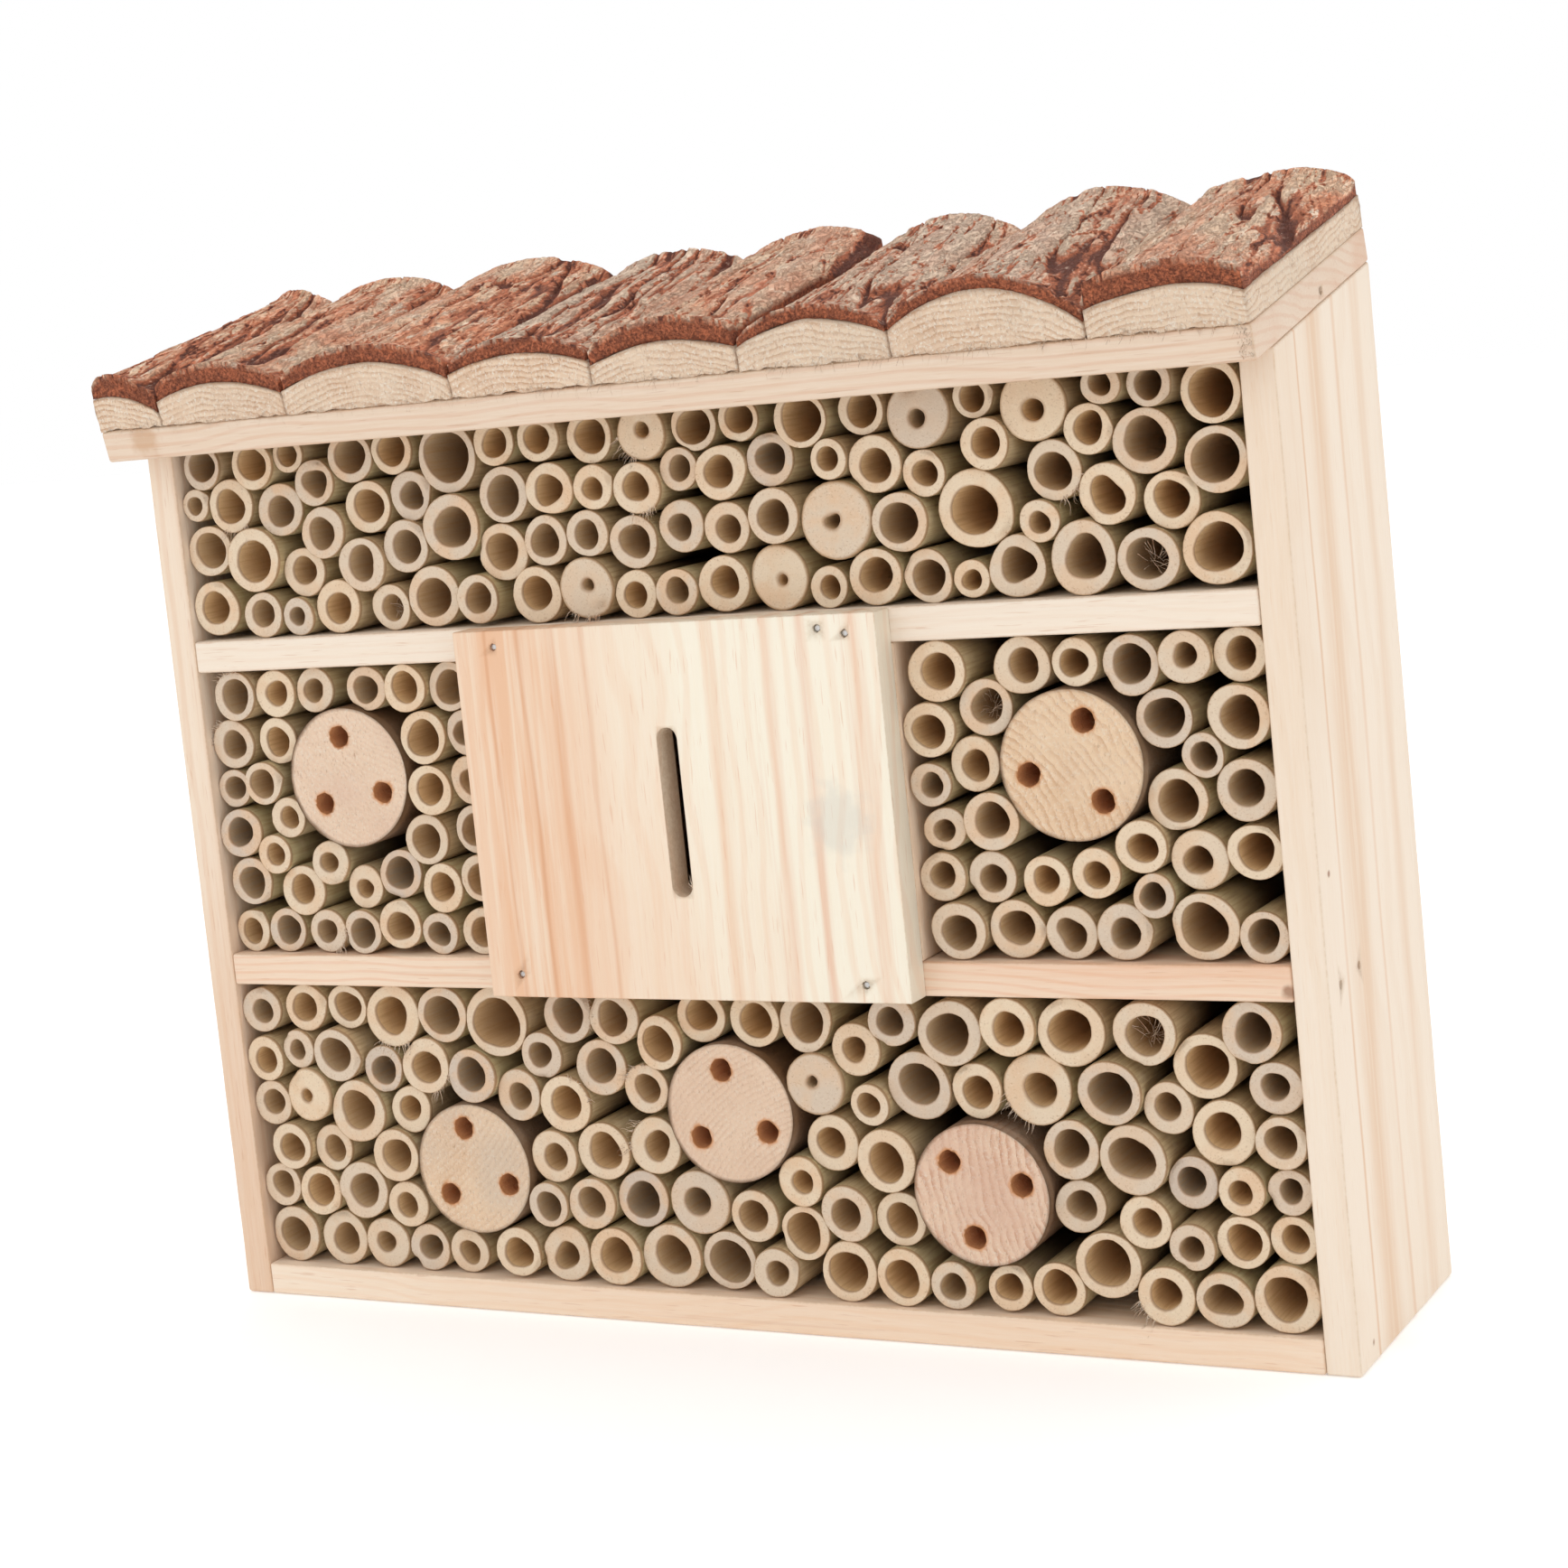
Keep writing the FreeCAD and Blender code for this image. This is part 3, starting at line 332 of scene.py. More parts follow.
def makePlankGrain():
    # planed pine: growth bands, broad warm patches, resin lines and fine fibres, all along Z of the
    # vector it is given
    group, inp, out = newGroup("plankGrain", [
        ("Vector", vectorSocket, None), ("Pale", colourSocket, colour(246, 228, 204)),
        ("Warm", colourSocket, colour(236, 192, 152)), ("Streak", colourSocket, colour(206, 150, 112)),
        ("Bands", floatSocket, 110.0), ("Strength", floatSocket, 0.6)],
        [("Color", colourSocket), ("Height", floatSocket), ("Rough", floatSocket)])
    add, maths, vector, mix, noise, between = newTree(group)
    where, pale, warm, streak, bands, strength = inp[:6]
    long = vector("MULTIPLY", where, (1.0, 1.0, 0.05))
    warp = noise(vector("MULTIPLY", where, (6.0, 6.0, 5.0)), 2.2, 2.0)
    bent = add("ShaderNodeVectorMath", operation="MULTIPLY_ADD", in0=(0.02, 0.012, 0.0), in1=warp,
               in2=long).outputs[0]
    wave = add("ShaderNodeTexWave", wave_type="RINGS", rings_direction="Z", in0=bent)
    group.links.new(bands, wave.inputs["Scale"])
    wave.inputs["Distortion"].default_value = 1.3
    wave.inputs["Detail"].default_value = 3.0
    wave.inputs["Detail Scale"].default_value = 1.6
    band = wave.outputs["Fac"]
    broad = noise(vector("MULTIPLY", where, (1.0, 1.0, 0.10)), 26.0, 2.5, 0.5)
    lines = noise(vector("MULTIPLY", where, (1.0, 1.0, 0.012)), 420.0, 4.0, 0.65)
    fibre = noise(vector("MULTIPLY", where, (1.0, 1.0, 0.035)), 1700.0, 4.0, 0.7)
    pore = noise(vector("MULTIPLY", where, (1.0, 1.0, 0.05)), 2300.0, 1.0, 0.5)
    base = mix(maths("MULTIPLY", between(broad, 0.44, 0.66), strength), pale, warm)
    half = maths("MULTIPLY", strength, 0.5)
    base = mix(maths("MULTIPLY", between(band, 0.55, 0.98), half), base, warm)
    base = mix(maths("MULTIPLY", between(lines, 0.60, 0.74), half), base, streak)
    base = mix(maths("MULTIPLY", between(pore, 0.66, 0.74), 0.35), base, streak)
    base = mix(maths("MULTIPLY", between(fibre, 0.30, 0.75), 0.16), base, (1.0, 0.97, 0.91, 1.0))
    height = maths("ADD", maths("MULTIPLY", fibre, 0.7), maths("MULTIPLY", band, -0.3))
    height = maths("ADD", height, maths("MULTIPLY", lines, 0.45))
    group.links.new(base, out[0])
    group.links.new(height, out[1])
    group.links.new(between(fibre, 0.2, 0.8, 0.52, 0.68), out[2])
    return group


def makeSawnRings():
    # end grain on the section map: growth rings about its origin, rays, saw fuzz and small dark pores
    group, inp, out = newGroup("sawnRings", [
        ("Vector", vectorSocket, None), ("Object", vectorSocket, None),
        ("Early", colourSocket, colour(232, 206, 166)), ("Late", colourSocket, colour(196, 148, 104)),
        ("Ring", floatSocket, 420.0), ("Contrast", floatSocket, 0.5), ("Fuzz", floatSocket, 0.5)],
        [("Color", colourSocket), ("Height", floatSocket), ("Rough", floatSocket)])
    add, maths, vector, mix, noise, between = newTree(group)
    where, place, early, late, ring, contrast, fuzz = inp[:7]
    wobble = noise(place, 90.0, 2.0)
    bent = add("ShaderNodeVectorMath", operation="MULTIPLY_ADD", in0=(0.0035, 0.0035, 0.0), in1=wobble,
               in2=where).outputs[0]
    wave = add("ShaderNodeTexWave", wave_type="RINGS", rings_direction="SPHERICAL", wave_profile="SAW",
               in0=bent)
    group.links.new(ring, wave.inputs["Scale"])
    wave.inputs["Distortion"].default_value = 1.6
    wave.inputs["Detail"].default_value = 3.0
    wave.inputs["Detail Scale"].default_value = 4.0
    patch = noise(place, 55.0, 3.0, 0.6)
    faint = noise(place, 140.0, 2.0, 0.6)
    band = maths("MULTIPLY", between(wave.outputs["Fac"], 0.30, 1.0), between(faint, 0.32, 0.62, 0.25, 1.0))
    grit = noise(place, 1500.0, 5.0, 0.75)
    hair = noise(vector("MULTIPLY", place, (1.0, 0.25, 0.30)), 2400.0, 3.0, 0.7)
    fleck = noise(vector("MULTIPLY", place, (1.0, 0.3, 0.45)), 1100.0, 4.0, 0.75)
    base = mix(maths("MULTIPLY", band, contrast), early, late)
    base = mix(maths("MULTIPLY", between(patch, 0.45, 0.70), 0.28), base, late)
    base = mix(maths("MULTIPLY", between(grit, 0.50, 0.64), fuzz), base, (0.97, 0.88, 0.76, 1.0))
    flecks = maths("MULTIPLY", between(fleck, 0.56, 0.68), maths("MULTIPLY", fuzz, 0.7))
    base = mix(flecks, base, colour(186, 138, 104))
    base = mix(maths("MULTIPLY", between(hair, 0.58, 0.70), 0.5), base, colour(172, 126, 94))
    height = maths("ADD", maths("MULTIPLY", grit, 1.0), maths("MULTIPLY", band, 0.35))
    height = maths("ADD", height, maths("MULTIPLY", hair, 0.6))
    group.links.new(base, out[0])
    group.links.new(height, out[1])
    group.links.new(between(grit, 0.3, 0.7, 0.95, 0.75), out[2])
    return group


plankGrain = makePlankGrain()
sawnRings = makeSawnRings()


def newFinish(name, group=None, rough=0.6, bump=0.3, reach=0.0004):
    # a material with its Principled shader, a bump node and, if given, one of the groups above
    material = bpy.data.materials.new(name)
    material.use_nodes = True
    tree = material.node_tree
    tree.nodes.clear()
    tools = newTree(tree)
    add = tools[0]
    shader = add("ShaderNodeBsdfPrincipled")
    result = add("ShaderNodeOutputMaterial")
    tree.links.new(shader.outputs[0], result.inputs[0])
    shader.inputs["Roughness"].default_value = rough
    bumper = add("ShaderNodeBump")
    bumper.inputs["Strength"].default_value = bump
    bumper.inputs["Distance"].default_value = reach
    tree.links.new(bumper.outputs[0], shader.inputs["Normal"])
    effect = None
    if group:
        effect = add("ShaderNodeGroup")
        effect.node_tree = group
    return material, tree, tools, shader, bumper, effect


# how much darker than its listed colours all bare wood is
woodShade = 0.11


def makePine(name, look):
    # planed pine board: grain along the board, its edges a little darker and furry
    material, tree, tools, shader, bumper, grain = newFinish(name, plankGrain, 0.6, 0.32, 0.00035)
    add, maths, vector, mix, noise, between = tools
    place = add("ShaderNodeTexCoord").outputs["Object"]
    parts = add("ShaderNodeSeparateXYZ", in0=place).outputs
    order = {"x": (1, 2, 0), "z": (0, 1, 2), "y": (2, 0, 1)}[look["along"]]
    turned = add("ShaderNodeCombineXYZ", in0=parts[order[0]], in1=parts[order[1]],
                 in2=parts[order[2]]).outputs[0]
    moved = vector("ADD", turned, look["offset"])
    tree.links.new(moved, grain.inputs["Vector"])
    for label in ("Pale", "Warm", "Streak"):
        if label.lower() in look:
            grain.inputs[label].default_value = colour(*look[label.lower()])
    grain.inputs["Bands"].default_value = look.get("bands", 110.0)
    grain.inputs["Strength"].default_value = look.get("strength", 0.6)
    edge = add("ShaderNodeAttribute", attribute_name="spot").outputs["Color"]
    edge = add("ShaderNodeSeparateColor", in0=edge).outputs[0]
    chip = noise(place, 900.0, 3.0, 0.7)
    worn = maths("MULTIPLY", edge, between(chip, 0.35, 0.65, 0.25, 0.9))
    base = mix(maths("MULTIPLY", worn, 0.4), grain.outputs["Color"], colour(198, 158, 112))
    for kind, where, size, tint, amount in look.get("marks", ()):
        # stripe: a soft band at a place across the grain; knot: a round mark at a place on the board
        if kind == "stripe":
            slow = noise(vector("MULTIPLY", turned, (1, 1, 0.15)), 60.0, 2.0)
            wander = maths("MULTIPLY", maths("SUBTRACT", slow, 0.5), 0.006)
            off = maths("ABSOLUTE", maths("SUBTRACT", maths("ADD", parts[where[0]], wander), where[1]))
            mask = between(off, 0.0, size, 1.0, 0.0)
            thread = noise(vector("MULTIPLY", turned, (1, 1, 0.03)), 500.0, 3.0)
            mask = maths("MULTIPLY", mask, between(thread, 0.3, 0.6, 0.5, 1.0))
        else:
            gap = vector("SUBTRACT", place, where)
            wobble = maths("MULTIPLY", maths("SUBTRACT", noise(place, 300.0, 2.0), 0.5), size)
            far = add("ShaderNodeVectorMath", operation="LENGTH", in0=gap).outputs["Value"]
            far = maths("ADD", far, wobble)
            mask = between(far, size * look.get("knotEdge", 0.3), size, 1.0, 0.0)
        base = mix(maths("MULTIPLY", mask, amount), base, colour(*tint))
    base = mix(woodShade, base, colour(0, 0, 0))
    tree.links.new(base, shader.inputs["Base Color"])
    tree.links.new(grain.outputs["Rough"], shader.inputs["Roughness"])
    chipped = maths("MULTIPLY", maths("MULTIPLY", edge, chip), 1.5)
    tree.links.new(maths("ADD", grain.outputs["Height"], chipped), bumper.inputs["Height"])
    return material


def makeSawn(name, look):
    # sawn end grain of a slab or log, with its section map
    material, tree, tools, shader, bumper, rings = newFinish(name, sawnRings, 0.85, 0.75, 0.0006)
    add, maths, vector, mix, noise, between = tools
    place = add("ShaderNodeTexCoord").outputs["Object"]
    section = add("ShaderNodeUVMap", uv_map="section").outputs[0]
    tree.links.new(section, rings.inputs["Vector"])
    tree.links.new(place, rings.inputs["Object"])
    rings.inputs["Early"].default_value = colour(*look["early"])
    rings.inputs["Late"].default_value = colour(*look["late"])
    rings.inputs["Ring"].default_value = look["ring"]
    rings.inputs["Contrast"].default_value = look["contrast"]
    rings.inputs["Fuzz"].default_value = look["fuzz"]
    spot = add("ShaderNodeAttribute", attribute_name="spot").outputs["Color"]
    spot = add("ShaderNodeSeparateColor", in0=spot).outputs
    base = mix(maths("MULTIPLY", spot[1], look["tintMost"]), rings.outputs["Color"], colour(*look["tint"]))
    base = mix(spot[0], base, colour(*look["rim"]))
    base = mix(maths("MULTIPLY", spot[2], 0.85), base, colour(*look["hole"]))
    base = mix(woodShade, base, colour(0, 0, 0))
    tree.links.new(base, shader.inputs["Base Color"])
    tree.links.new(rings.outputs["Rough"], shader.inputs["Roughness"])
    tree.links.new(rings.outputs["Height"], bumper.inputs["Height"])
    return material


def makeBark(look):
    # pine bark: dark red cracks, red-brown granular flanks, grey-tan flaky plates
    material, tree, tools, shader, bumper, _ = newFinish("pineBark", None, 0.85, 0.85, 0.0005)
    add, maths, vector, mix, noise, between = tools
    place = add("ShaderNodeTexCoord").outputs["Object"]
    spot = add("ShaderNodeAttribute", attribute_name="spot").outputs["Color"]
    relief, tone, cut = add("ShaderNodeSeparateColor", in0=spot).outputs[:3]
    grit = noise(place, 1400.0, 5.0, 0.75)
    leant = vector("ADD", place, vector("MULTIPLY", add("ShaderNodeCombineXYZ", in0=add(
        "ShaderNodeSeparateXYZ", in0=place).outputs[1]).outputs[0], (look["lean"], 0.0, 0.0)))
    flake = noise(vector("MULTIPLY", leant, (1.0, 0.16, 1.0)), 420.0, 6.0, 0.75, 0.3)
    broad = noise(vector("MULTIPLY", leant, (1.0, 0.14, 1.0)), 130.0, 4.0, 0.7)
    level = maths("ADD", relief, maths("MULTIPLY", maths("SUBTRACT", flake, 0.5), 0.8))
    base = mix(between(level, 0.05, 0.36), colour(*look["crack"]), colour(*look["flank"]))
    plate = mix(between(broad, 0.38, 0.62), colour(*look["plate"]), colour(*look["plateRed"]))
    plate = mix(maths("MULTIPLY", tone, 0.75), plate, colour(*look["plateGrey"]))
    plate = mix(between(flake, 0.52, 0.66), plate, colour(*look["flake"]))
    base = mix(between(level, 0.34, 0.56), base, plate)
    # thin dark edges of the small scales, and pale worn spots
    scale = noise(vector("MULTIPLY", leant, (1.0, 0.30, 1.0)), 520.0, 6.0, 0.8, 1.2)
    edge = maths("ABSOLUTE", maths("SUBTRACT", scale, 0.5))
    base = mix(maths("MULTIPLY", between(edge, 0.0, 0.020, 1.0, 0.0), 0.65), base, colour(*look["scale"]))
    base = mix(between(scale, 0.58, 0.66, 0.0, 0.5), base, colour(*look["flake"]))
    base = mix(maths("MULTIPLY", between(grit, 0.58, 0.72), 0.3), base, colour(*look["flank"]))
    base = mix(maths("MULTIPLY", between(grit, 0.28, 0.40, 1.0, 0.0), 0.35), base, colour(*look["plate"]))
    section = mix(between(grit, 0.38, 0.62), colour(*look["sectionDark"]), colour(*look["section"]))
    base = mix(cut, base, section)
    tree.links.new(base, shader.inputs["Base Color"])
    tree.links.new(between(grit, 0.3, 0.7, 0.95, 0.7), shader.inputs["Roughness"])
    scaly = maths("MULTIPLY", between(scale, 0.44, 0.52), 0.9)
    height = maths("ADD", maths("MULTIPLY", grit, 0.6), maths("ADD", flake, scaly))
    tree.links.new(height, bumper.inputs["Height"])
    return material


def makeBamboo(look):
    # spot holds: place through the wall (0 bore, 1 skin), tone, depth behind the mouth, hue
    material, tree, tools, shader, bumper, _ = newFinish("bambooCane", None, 0.55, 0.45, 0.0003)
    add, maths, vector, mix, noise, between = tools
    place = add("ShaderNodeTexCoord").outputs["Object"]
    spot = add("ShaderNodeAttribute", attribute_name="spot")
    wall, tone, depth = add("ShaderNodeSeparateColor", in0=spot.outputs["Color"]).outputs[:3]
    hue = spot.outputs["Alpha"]
    dots = noise(vector("MULTIPLY", place, (1.0, 0.15, 1.0)), 2100.0, 2.0, 0.6)
    grit = noise(place, 1300.0, 4.0, 0.7)
    patch = noise(place, 130.0, 3.0, 0.6)
    long = noise(vector("MULTIPLY", place, (1.0, 0.04, 1.0)), 1500.0, 3.0, 0.6)
    # the cut face
    face = mix(tone, colour(*look["face"]), colour(*look["faceGrey"]))
    warmth = maths("MULTIPLY", between(patch, 0.38, 0.66), maths("ADD", maths("MULTIPLY", hue, 0.5), 0.25))
    face = mix(warmth, face, colour(*look["faceWarm"]))
    face = mix(maths("MULTIPLY", between(grit, 0.55, 0.72), 0.30), face, colour(*look["faceLight"]))
    dotty = maths("MULTIPLY", between(dots, 0.55, 0.74), between(wall, 0.1, 0.9, 0.25, 0.55))
    face = mix(dotty, face, colour(*look["pore"]))
    face = mix(maths("MULTIPLY", between(wall, 0.0, 0.16, 1.0, 0.0), 0.55), face, colour(*look["lining"]))
    face = mix(between(wall, 0.86, 0.99, 0.0, 0.85), face, colour(*look["skinDark"]))
    # the bore, from amber at its mouth to brown inside: its own amber, painted lighter as painted light
    # glowing through the thin wall, and darker deeper in as painted shade
    bore = mix(between(depth, 0.0, 0.75), colour(*look["boreMouthLit"]), colour(*look["boreDeepShade"]))
    bore = mix(maths("MULTIPLY", tone, 0.8), bore, colour(*look["boreGrey"]))
    bore = mix(between(long, 0.40, 0.70, 0.0, 0.5), bore, colour(*look["boreStreak"]))
    # the skin
    skin = mix(hue, colour(*look["skin"]), colour(*look["skinGreen"]))
    skin = mix(between(long, 0.40, 0.68, 0.0, 0.55), skin, colour(*look["skinDark"]))
    skin = mix(maths("MULTIPLY", between(patch, 0.50, 0.72), 0.5), skin, colour(*look["skinPale"]))
    # painted shade: the skin turns dark brown the deeper it lies behind the mouth, standing in for the
    # shade in the gaps between canes
    skin = mix(between(depth, 0.20, 0.75), skin, colour(*look["skinGapShade"]))
    inside = mix(between(wall, 0.4, 0.6), bore, skin)
    base = mix(between(depth, 0.004, 0.03), face, inside)
    base = mix(woodShade, base, colour(0, 0, 0))
    tree.links.new(base, shader.inputs["Base Color"])
    tree.links.new(between(wall, 0.97, 1.0, 0.75, 0.42), shader.inputs["Roughness"])
    height = maths("ADD", maths("MULTIPLY", grit, 0.8), maths("MULTIPLY", dots, 0.5))
    tree.links.new(height, bumper.inputs["Height"])
    return material


def makeSteel(name, look):
    # zinc-bright or worn steel: cloudy tone, fine scratches, a little rust in patches
    material, tree, tools, shader, bumper, _ = newFinish(name, None, 0.4, 0.15, 0.0001)
    add, maths, vector, mix, noise, between = tools
    place = add("ShaderNodeTexCoord").outputs["Object"]
    cloud = noise(place, 500.0, 4.0, 0.6)
    scratch = noise(vector("MULTIPLY", place, (1.0, 1.0, 0.05)), 3000.0, 3.0, 0.7)
    rust = noise(place, 900.0, 4.0, 0.65)
    base = mix(cloud, colour(*look["dark"]), colour(*look["bright"]))
    base = mix(maths("MULTIPLY", between(rust, 0.55, 0.68), look["rustMost"]), base, colour(*look["rust"]))
    tree.links.new(base, shader.inputs["Base Color"])
    tree.links.new(between(cloud, 0.3, 0.7, look["rough"], look["rough"] + 0.2), shader.inputs["Roughness"])
    tree.links.new(maths("SUBTRACT", 1.0, maths("MULTIPLY", between(rust, 0.55, 0.68), look["rustMost"])),
                   shader.inputs["Metallic"])
    tree.links.new(maths("ADD", scratch, cloud), bumper.inputs["Height"])
    return material


print("finishes ready")

# the box

boxLook = {
    "edge": 0.0007,          # rounding of a board's edges
    "grid": 0.006,           # spacing of the points over a board
    "roofEdge": 0.0008,      # the same two for the roof board
    "roofGrid": 0.005,
    "slotEdge": 0.0005,      # rounding of the slotted board's edges
    "nailDent": 0.0012,      # how deep the nail heads sit in their craters
}

leftLow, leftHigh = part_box("side_board_left")
rightLow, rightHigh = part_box("side_board_right")
roofLow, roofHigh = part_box("roof_board")
sidePoints = islandsOf("side_board_left")[0]
frontTop = sidePoints[sidePoints[:, 1] < leftLow[1] + 0.0005][:, 2].max()
pitch = math.atan2(leftHigh[2] - frontTop, leftHigh[1] - leftLow[1])
print("roof pitch", round(math.degrees(pitch), 2))

pine = {
    "side_board_left": makePine("pineSideLeft", {
        "along": "z", "offset": (0.11, 0.06, 0.0), "pale": (240, 218, 194), "warm": (226, 186, 152),
        "strength": 0.7, "bands": 95.0}),
    "side_board_right": makePine("pineSideRight", {
        "along": "z", "offset": (-0.05, 0.052, 0.07), "pale": (243, 225, 204),
        "warm": (232, 204, 174), "streak": (226, 190, 156),
        "strength": 0.40, "bands": 48.0,
        "marks": [
            ("stripe", (1, rightLow[1] + 0.0140), 0.0011, (222, 174, 132), 0.7),
            ("stripe", (1, rightLow[1] + 0.0250), 0.0100, (228, 190, 154), 0.7),
            ("stripe", (1, rightLow[1] + 0.0400), 0.0016, (226, 182, 144), 0.5),
            ("stripe", (1, rightLow[1] + 0.0560), 0.0050, (230, 196, 164), 0.5),
            ("knot", (rightHigh[0], rightLow[1] + 0.0063, 0.1087), 0.0011, (150, 96, 60), 0.8),
            ("knot", (rightHigh[0], rightLow[1] + 0.0096, 0.0047), 0.0012, (150, 96, 60), 0.8)]}),
    "bottom_board": makePine("pineBottom", {
        "along": "x", "offset": (0.05, 0.03, 0.11), "strength": 0.45, "bands": 120.0,
        "pale": (248, 230, 208)}),
    "lower_shelf": makePine("pineLowerShelf", {
        "along": "x", "offset": (0.045, 0.018, 0.32), "warm": (232, 178, 140), "strength": 0.95,
        "pale": (240, 213, 186), "bands": 140.0,
        "marks": [("knot", (rightLow[0] - 0.001, leftLow[1], 0.0845), 0.0022, (142, 92, 56), 0.75)]}),
    "upper_shelf": makePine("pineUpperShelf", {
        "along": "x", "offset": (0.06, -0.02, 0.21), "strength": 0.35, "bands": 130.0,
        "pale": (243, 226, 206), "warm": (232, 198, 168)}),
    "chamber_front": makePine("pineChamber", {
        "along": "z", "offset": (0.02, 0.075, 0.13), "strength": 0.5, "bands": 70.0,
        "pale": (247, 237, 216), "warm": (238, 194, 158), "streak": (222, 162, 124),
        "marks": [
            ("stripe", (0, -0.0445), 0.034, (232, 172, 126), 0.75),
            ("stripe", (0, -0.0300), 0.0022, (222, 158, 112), 0.55),
            ("stripe", (0, -0.0392), 0.0011, (212, 146, 100), 0.5),
            ("stripe", (0, -0.0478), 0.0009, (214, 150, 106), 0.5),
            ("stripe", (0, -0.0212), 0.0012, (220, 160, 118), 0.4),
            ("stripe", (0, 0.0125), 0.0026, (232, 176, 132), 0.4),
            ("stripe", (0, 0.0268), 0.0024, (230, 172, 134), 0.45),
            ("stripe", (0, 0.0362), 0.0020, (226, 162, 126), 0.5),
            ("stripe", (0, 0.0492), 0.0030, (230, 172, 134), 0.45),
            ("knot", (0.0415, -0.0425, 0.124), 0.011, (196, 196, 190), 0.32)]}),
    "roof_board": makePine("pineRoofBoard", {
        "along": "x", "offset": (0.03, 0.05, 0.4), "warm": (216, 168, 134), "strength": 0.75,
        "pale": (228, 203, 178), "streak": (186, 134, 100), "bands": 120.0,
        "marks": [("knot", (-0.1395, roofLow[1], roofLow[2] + 0.005), 0.0060, (196, 146, 100), 0.5)]}),
    "chamber_wall_left": makePine("pineWallLeft", {
        "along": "z", "offset": (0.2, 0.1, 0.0), "strength": 0.6}),
    "chamber_wall_right": makePine("pineWallRight", {
        "along": "z", "offset": (0.3, 0.14, 0.1), "strength": 0.6}),
    "back_board": makePine("pineBack", {
        "along": "x", "offset": (0.07, 0.12, 0.05), "strength": 0.75, "bands": 60.0,
        "pale": (236, 214, 180), "warm": (216, 174, 130), "knotEdge": 0.8,
        "marks": [
            ("knot", (0.062, leftHigh[1], 0.128), 0.0075, (132, 84, 50), 0.85),
            ("knot", (-0.031, leftHigh[1], 0.052), 0.0055, (146, 96, 58), 0.8)]}),
}


def nailCraters(name, towards):
    # shallow cutters over the heads of one group of nails, whose outward way is given
    cutters = []
    way = np.array(towards, float)
    for k, points in enumerate(islandsOf(name)):
        low, high = points.min(0), points.max(0)
        head = np.where(way > 0, high, np.where(way < 0, low, (low + high) / 2))
        wide = np.sort(high - low)[1] / 2
        cutters.append(roundCutter(head, -way, wide * 1.12, boxLook["nailDent"], 40 + k, 0.22))
    return cutters


def makeBoard(name, cutters=(), edge=None, lean=False):
    low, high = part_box(name)
    low, high = np.array(low), np.array(high)
    top = high[2]
    if lean:
        high[2] = frontTop
    points, quads, spot = softBoard(low, high, edge or boxLook["edge"], boxLook["grid"],
                                    sum(ord(c) for c in name))
    if lean:
        # the top edge follows the roof: each point rises with its depth, more the higher it is
        rise = (points[:, 1] - low[1]) * math.tan(pitch)
        points[:, 2] += rise * np.clip((points[:, 2] - low[2]) / (high[2] - low[2]), 0, 1)
    piece = makePiece("shown_" + name, points, quads, pine[name], spot=spot, replaces=[name])
    return cutAway(piece, cutters) if cutters else piece


makeBoard("side_board_left", nailCraters("side_nails_left", (-1, 0, 0)), lean=True)
makeBoard("side_board_right", nailCraters("side_nails_right", (1, 0, 0)), lean=True)
for name in ("bottom_board", "lower_shelf", "upper_shelf", "chamber_wall_left", "chamber_wall_right"):
    makeBoard(name)


def slotCutter():
    # an upright slot with round ends: a stadium outline carried through the board
    low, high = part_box("chamber_front")
    outline = islandsOf("chamber_front")[0]
    centre = (low[0] + high[0]) / 2
    inner = outline[(np.abs(outline[:, 0] - centre) < 0.008) & (outline[:, 2] > low[2] + 0.01)
                    & (outline[:, 2] < high[2] - 0.01)]
    half = (inner[:, 0].max() - inner[:, 0].min()) / 2
    down, up = inner[:, 2].min() + half, inner[:, 2].max() - half
    centre = (inner[:, 0].max() + inner[:, 0].min()) / 2
    turn = np.linspace(0, math.pi, 12)
    side = np.concatenate([np.stack([half * np.cos(turn), up + half * np.sin(turn)], -1),
                           np.stack([-half * np.cos(turn), down - half * np.sin(turn)], -1)])
    ripple = noiseAt(side[:, 1] * 600, side[:, 0] * 0, side[:, 0] * 0, 9)
    side[:, 0] += centre + 0.00012 * ripple
    count = len(side)
    rows = np.array([low[1] - 0.002, high[1] + 0.002])
    points = np.concatenate([np.stack([side[:, 0], np.full(count, y), side[:, 1]], -1) for y in rows])
    faces = tubeFaces(2, count).tolist()
    faces += [list(range(count)), [count + k for k in range(count)][::-1]]
    mesh = bpy.data.meshes.new("slotCutter")
    mesh.from_pydata(points.tolist(), [], faces)
    cutter = linked("slotCutter", mesh)
    return cutter, centre, half, down


slotShape, slotX, slotHalf, slotDown = slotCutter()
makeBoard("chamber_front", [slotShape] + nailCraters("front_nails", (0, -1, 0)),
          edge=boxLook["slotEdge"])


def roofPoint(x, along, above):
    # the place that far across, up the slope and square above the roof board's underside
    along, above = np.asarray(along), np.asarray(above)
    return np.stack(np.broadcast_arrays(
        x, roofFoot[1] + along * math.cos(pitch) - above * math.sin(pitch),
        roofFoot[2] + along * math.sin(pitch) + above * math.cos(pitch)), -1)


roofPoints = islandsOf("roof_board")[0]
roofFoot = roofPoints[np.argmin(roofPoints[:, 2])]
away = roofPoints - roofFoot
roofAlong = away[:, 1] * math.cos(pitch) + away[:, 2] * math.sin(pitch)
roofAbove = -away[:, 1] * math.sin(pitch) + away[:, 2] * math.cos(pitch)
roofRun, roofThick = roofAlong.max(), roofAbove.max()
points, quads, spot = softBoard((roofLow[0], 0, 0), (roofHigh[0], roofRun, roofThick),
                                boxLook["roofEdge"], boxLook["roofGrid"], 77, 0.0001)
roofShown = makePiece("shown_roof_board", roofPoint(points[:, 0], points[:, 1], points[:, 2]), quads,
                      pine["roof_board"], spot=spot, replaces=["roof_board"])
cutAway(roofShown, nailCraters("side_nails_right", (1, 0, 0)))


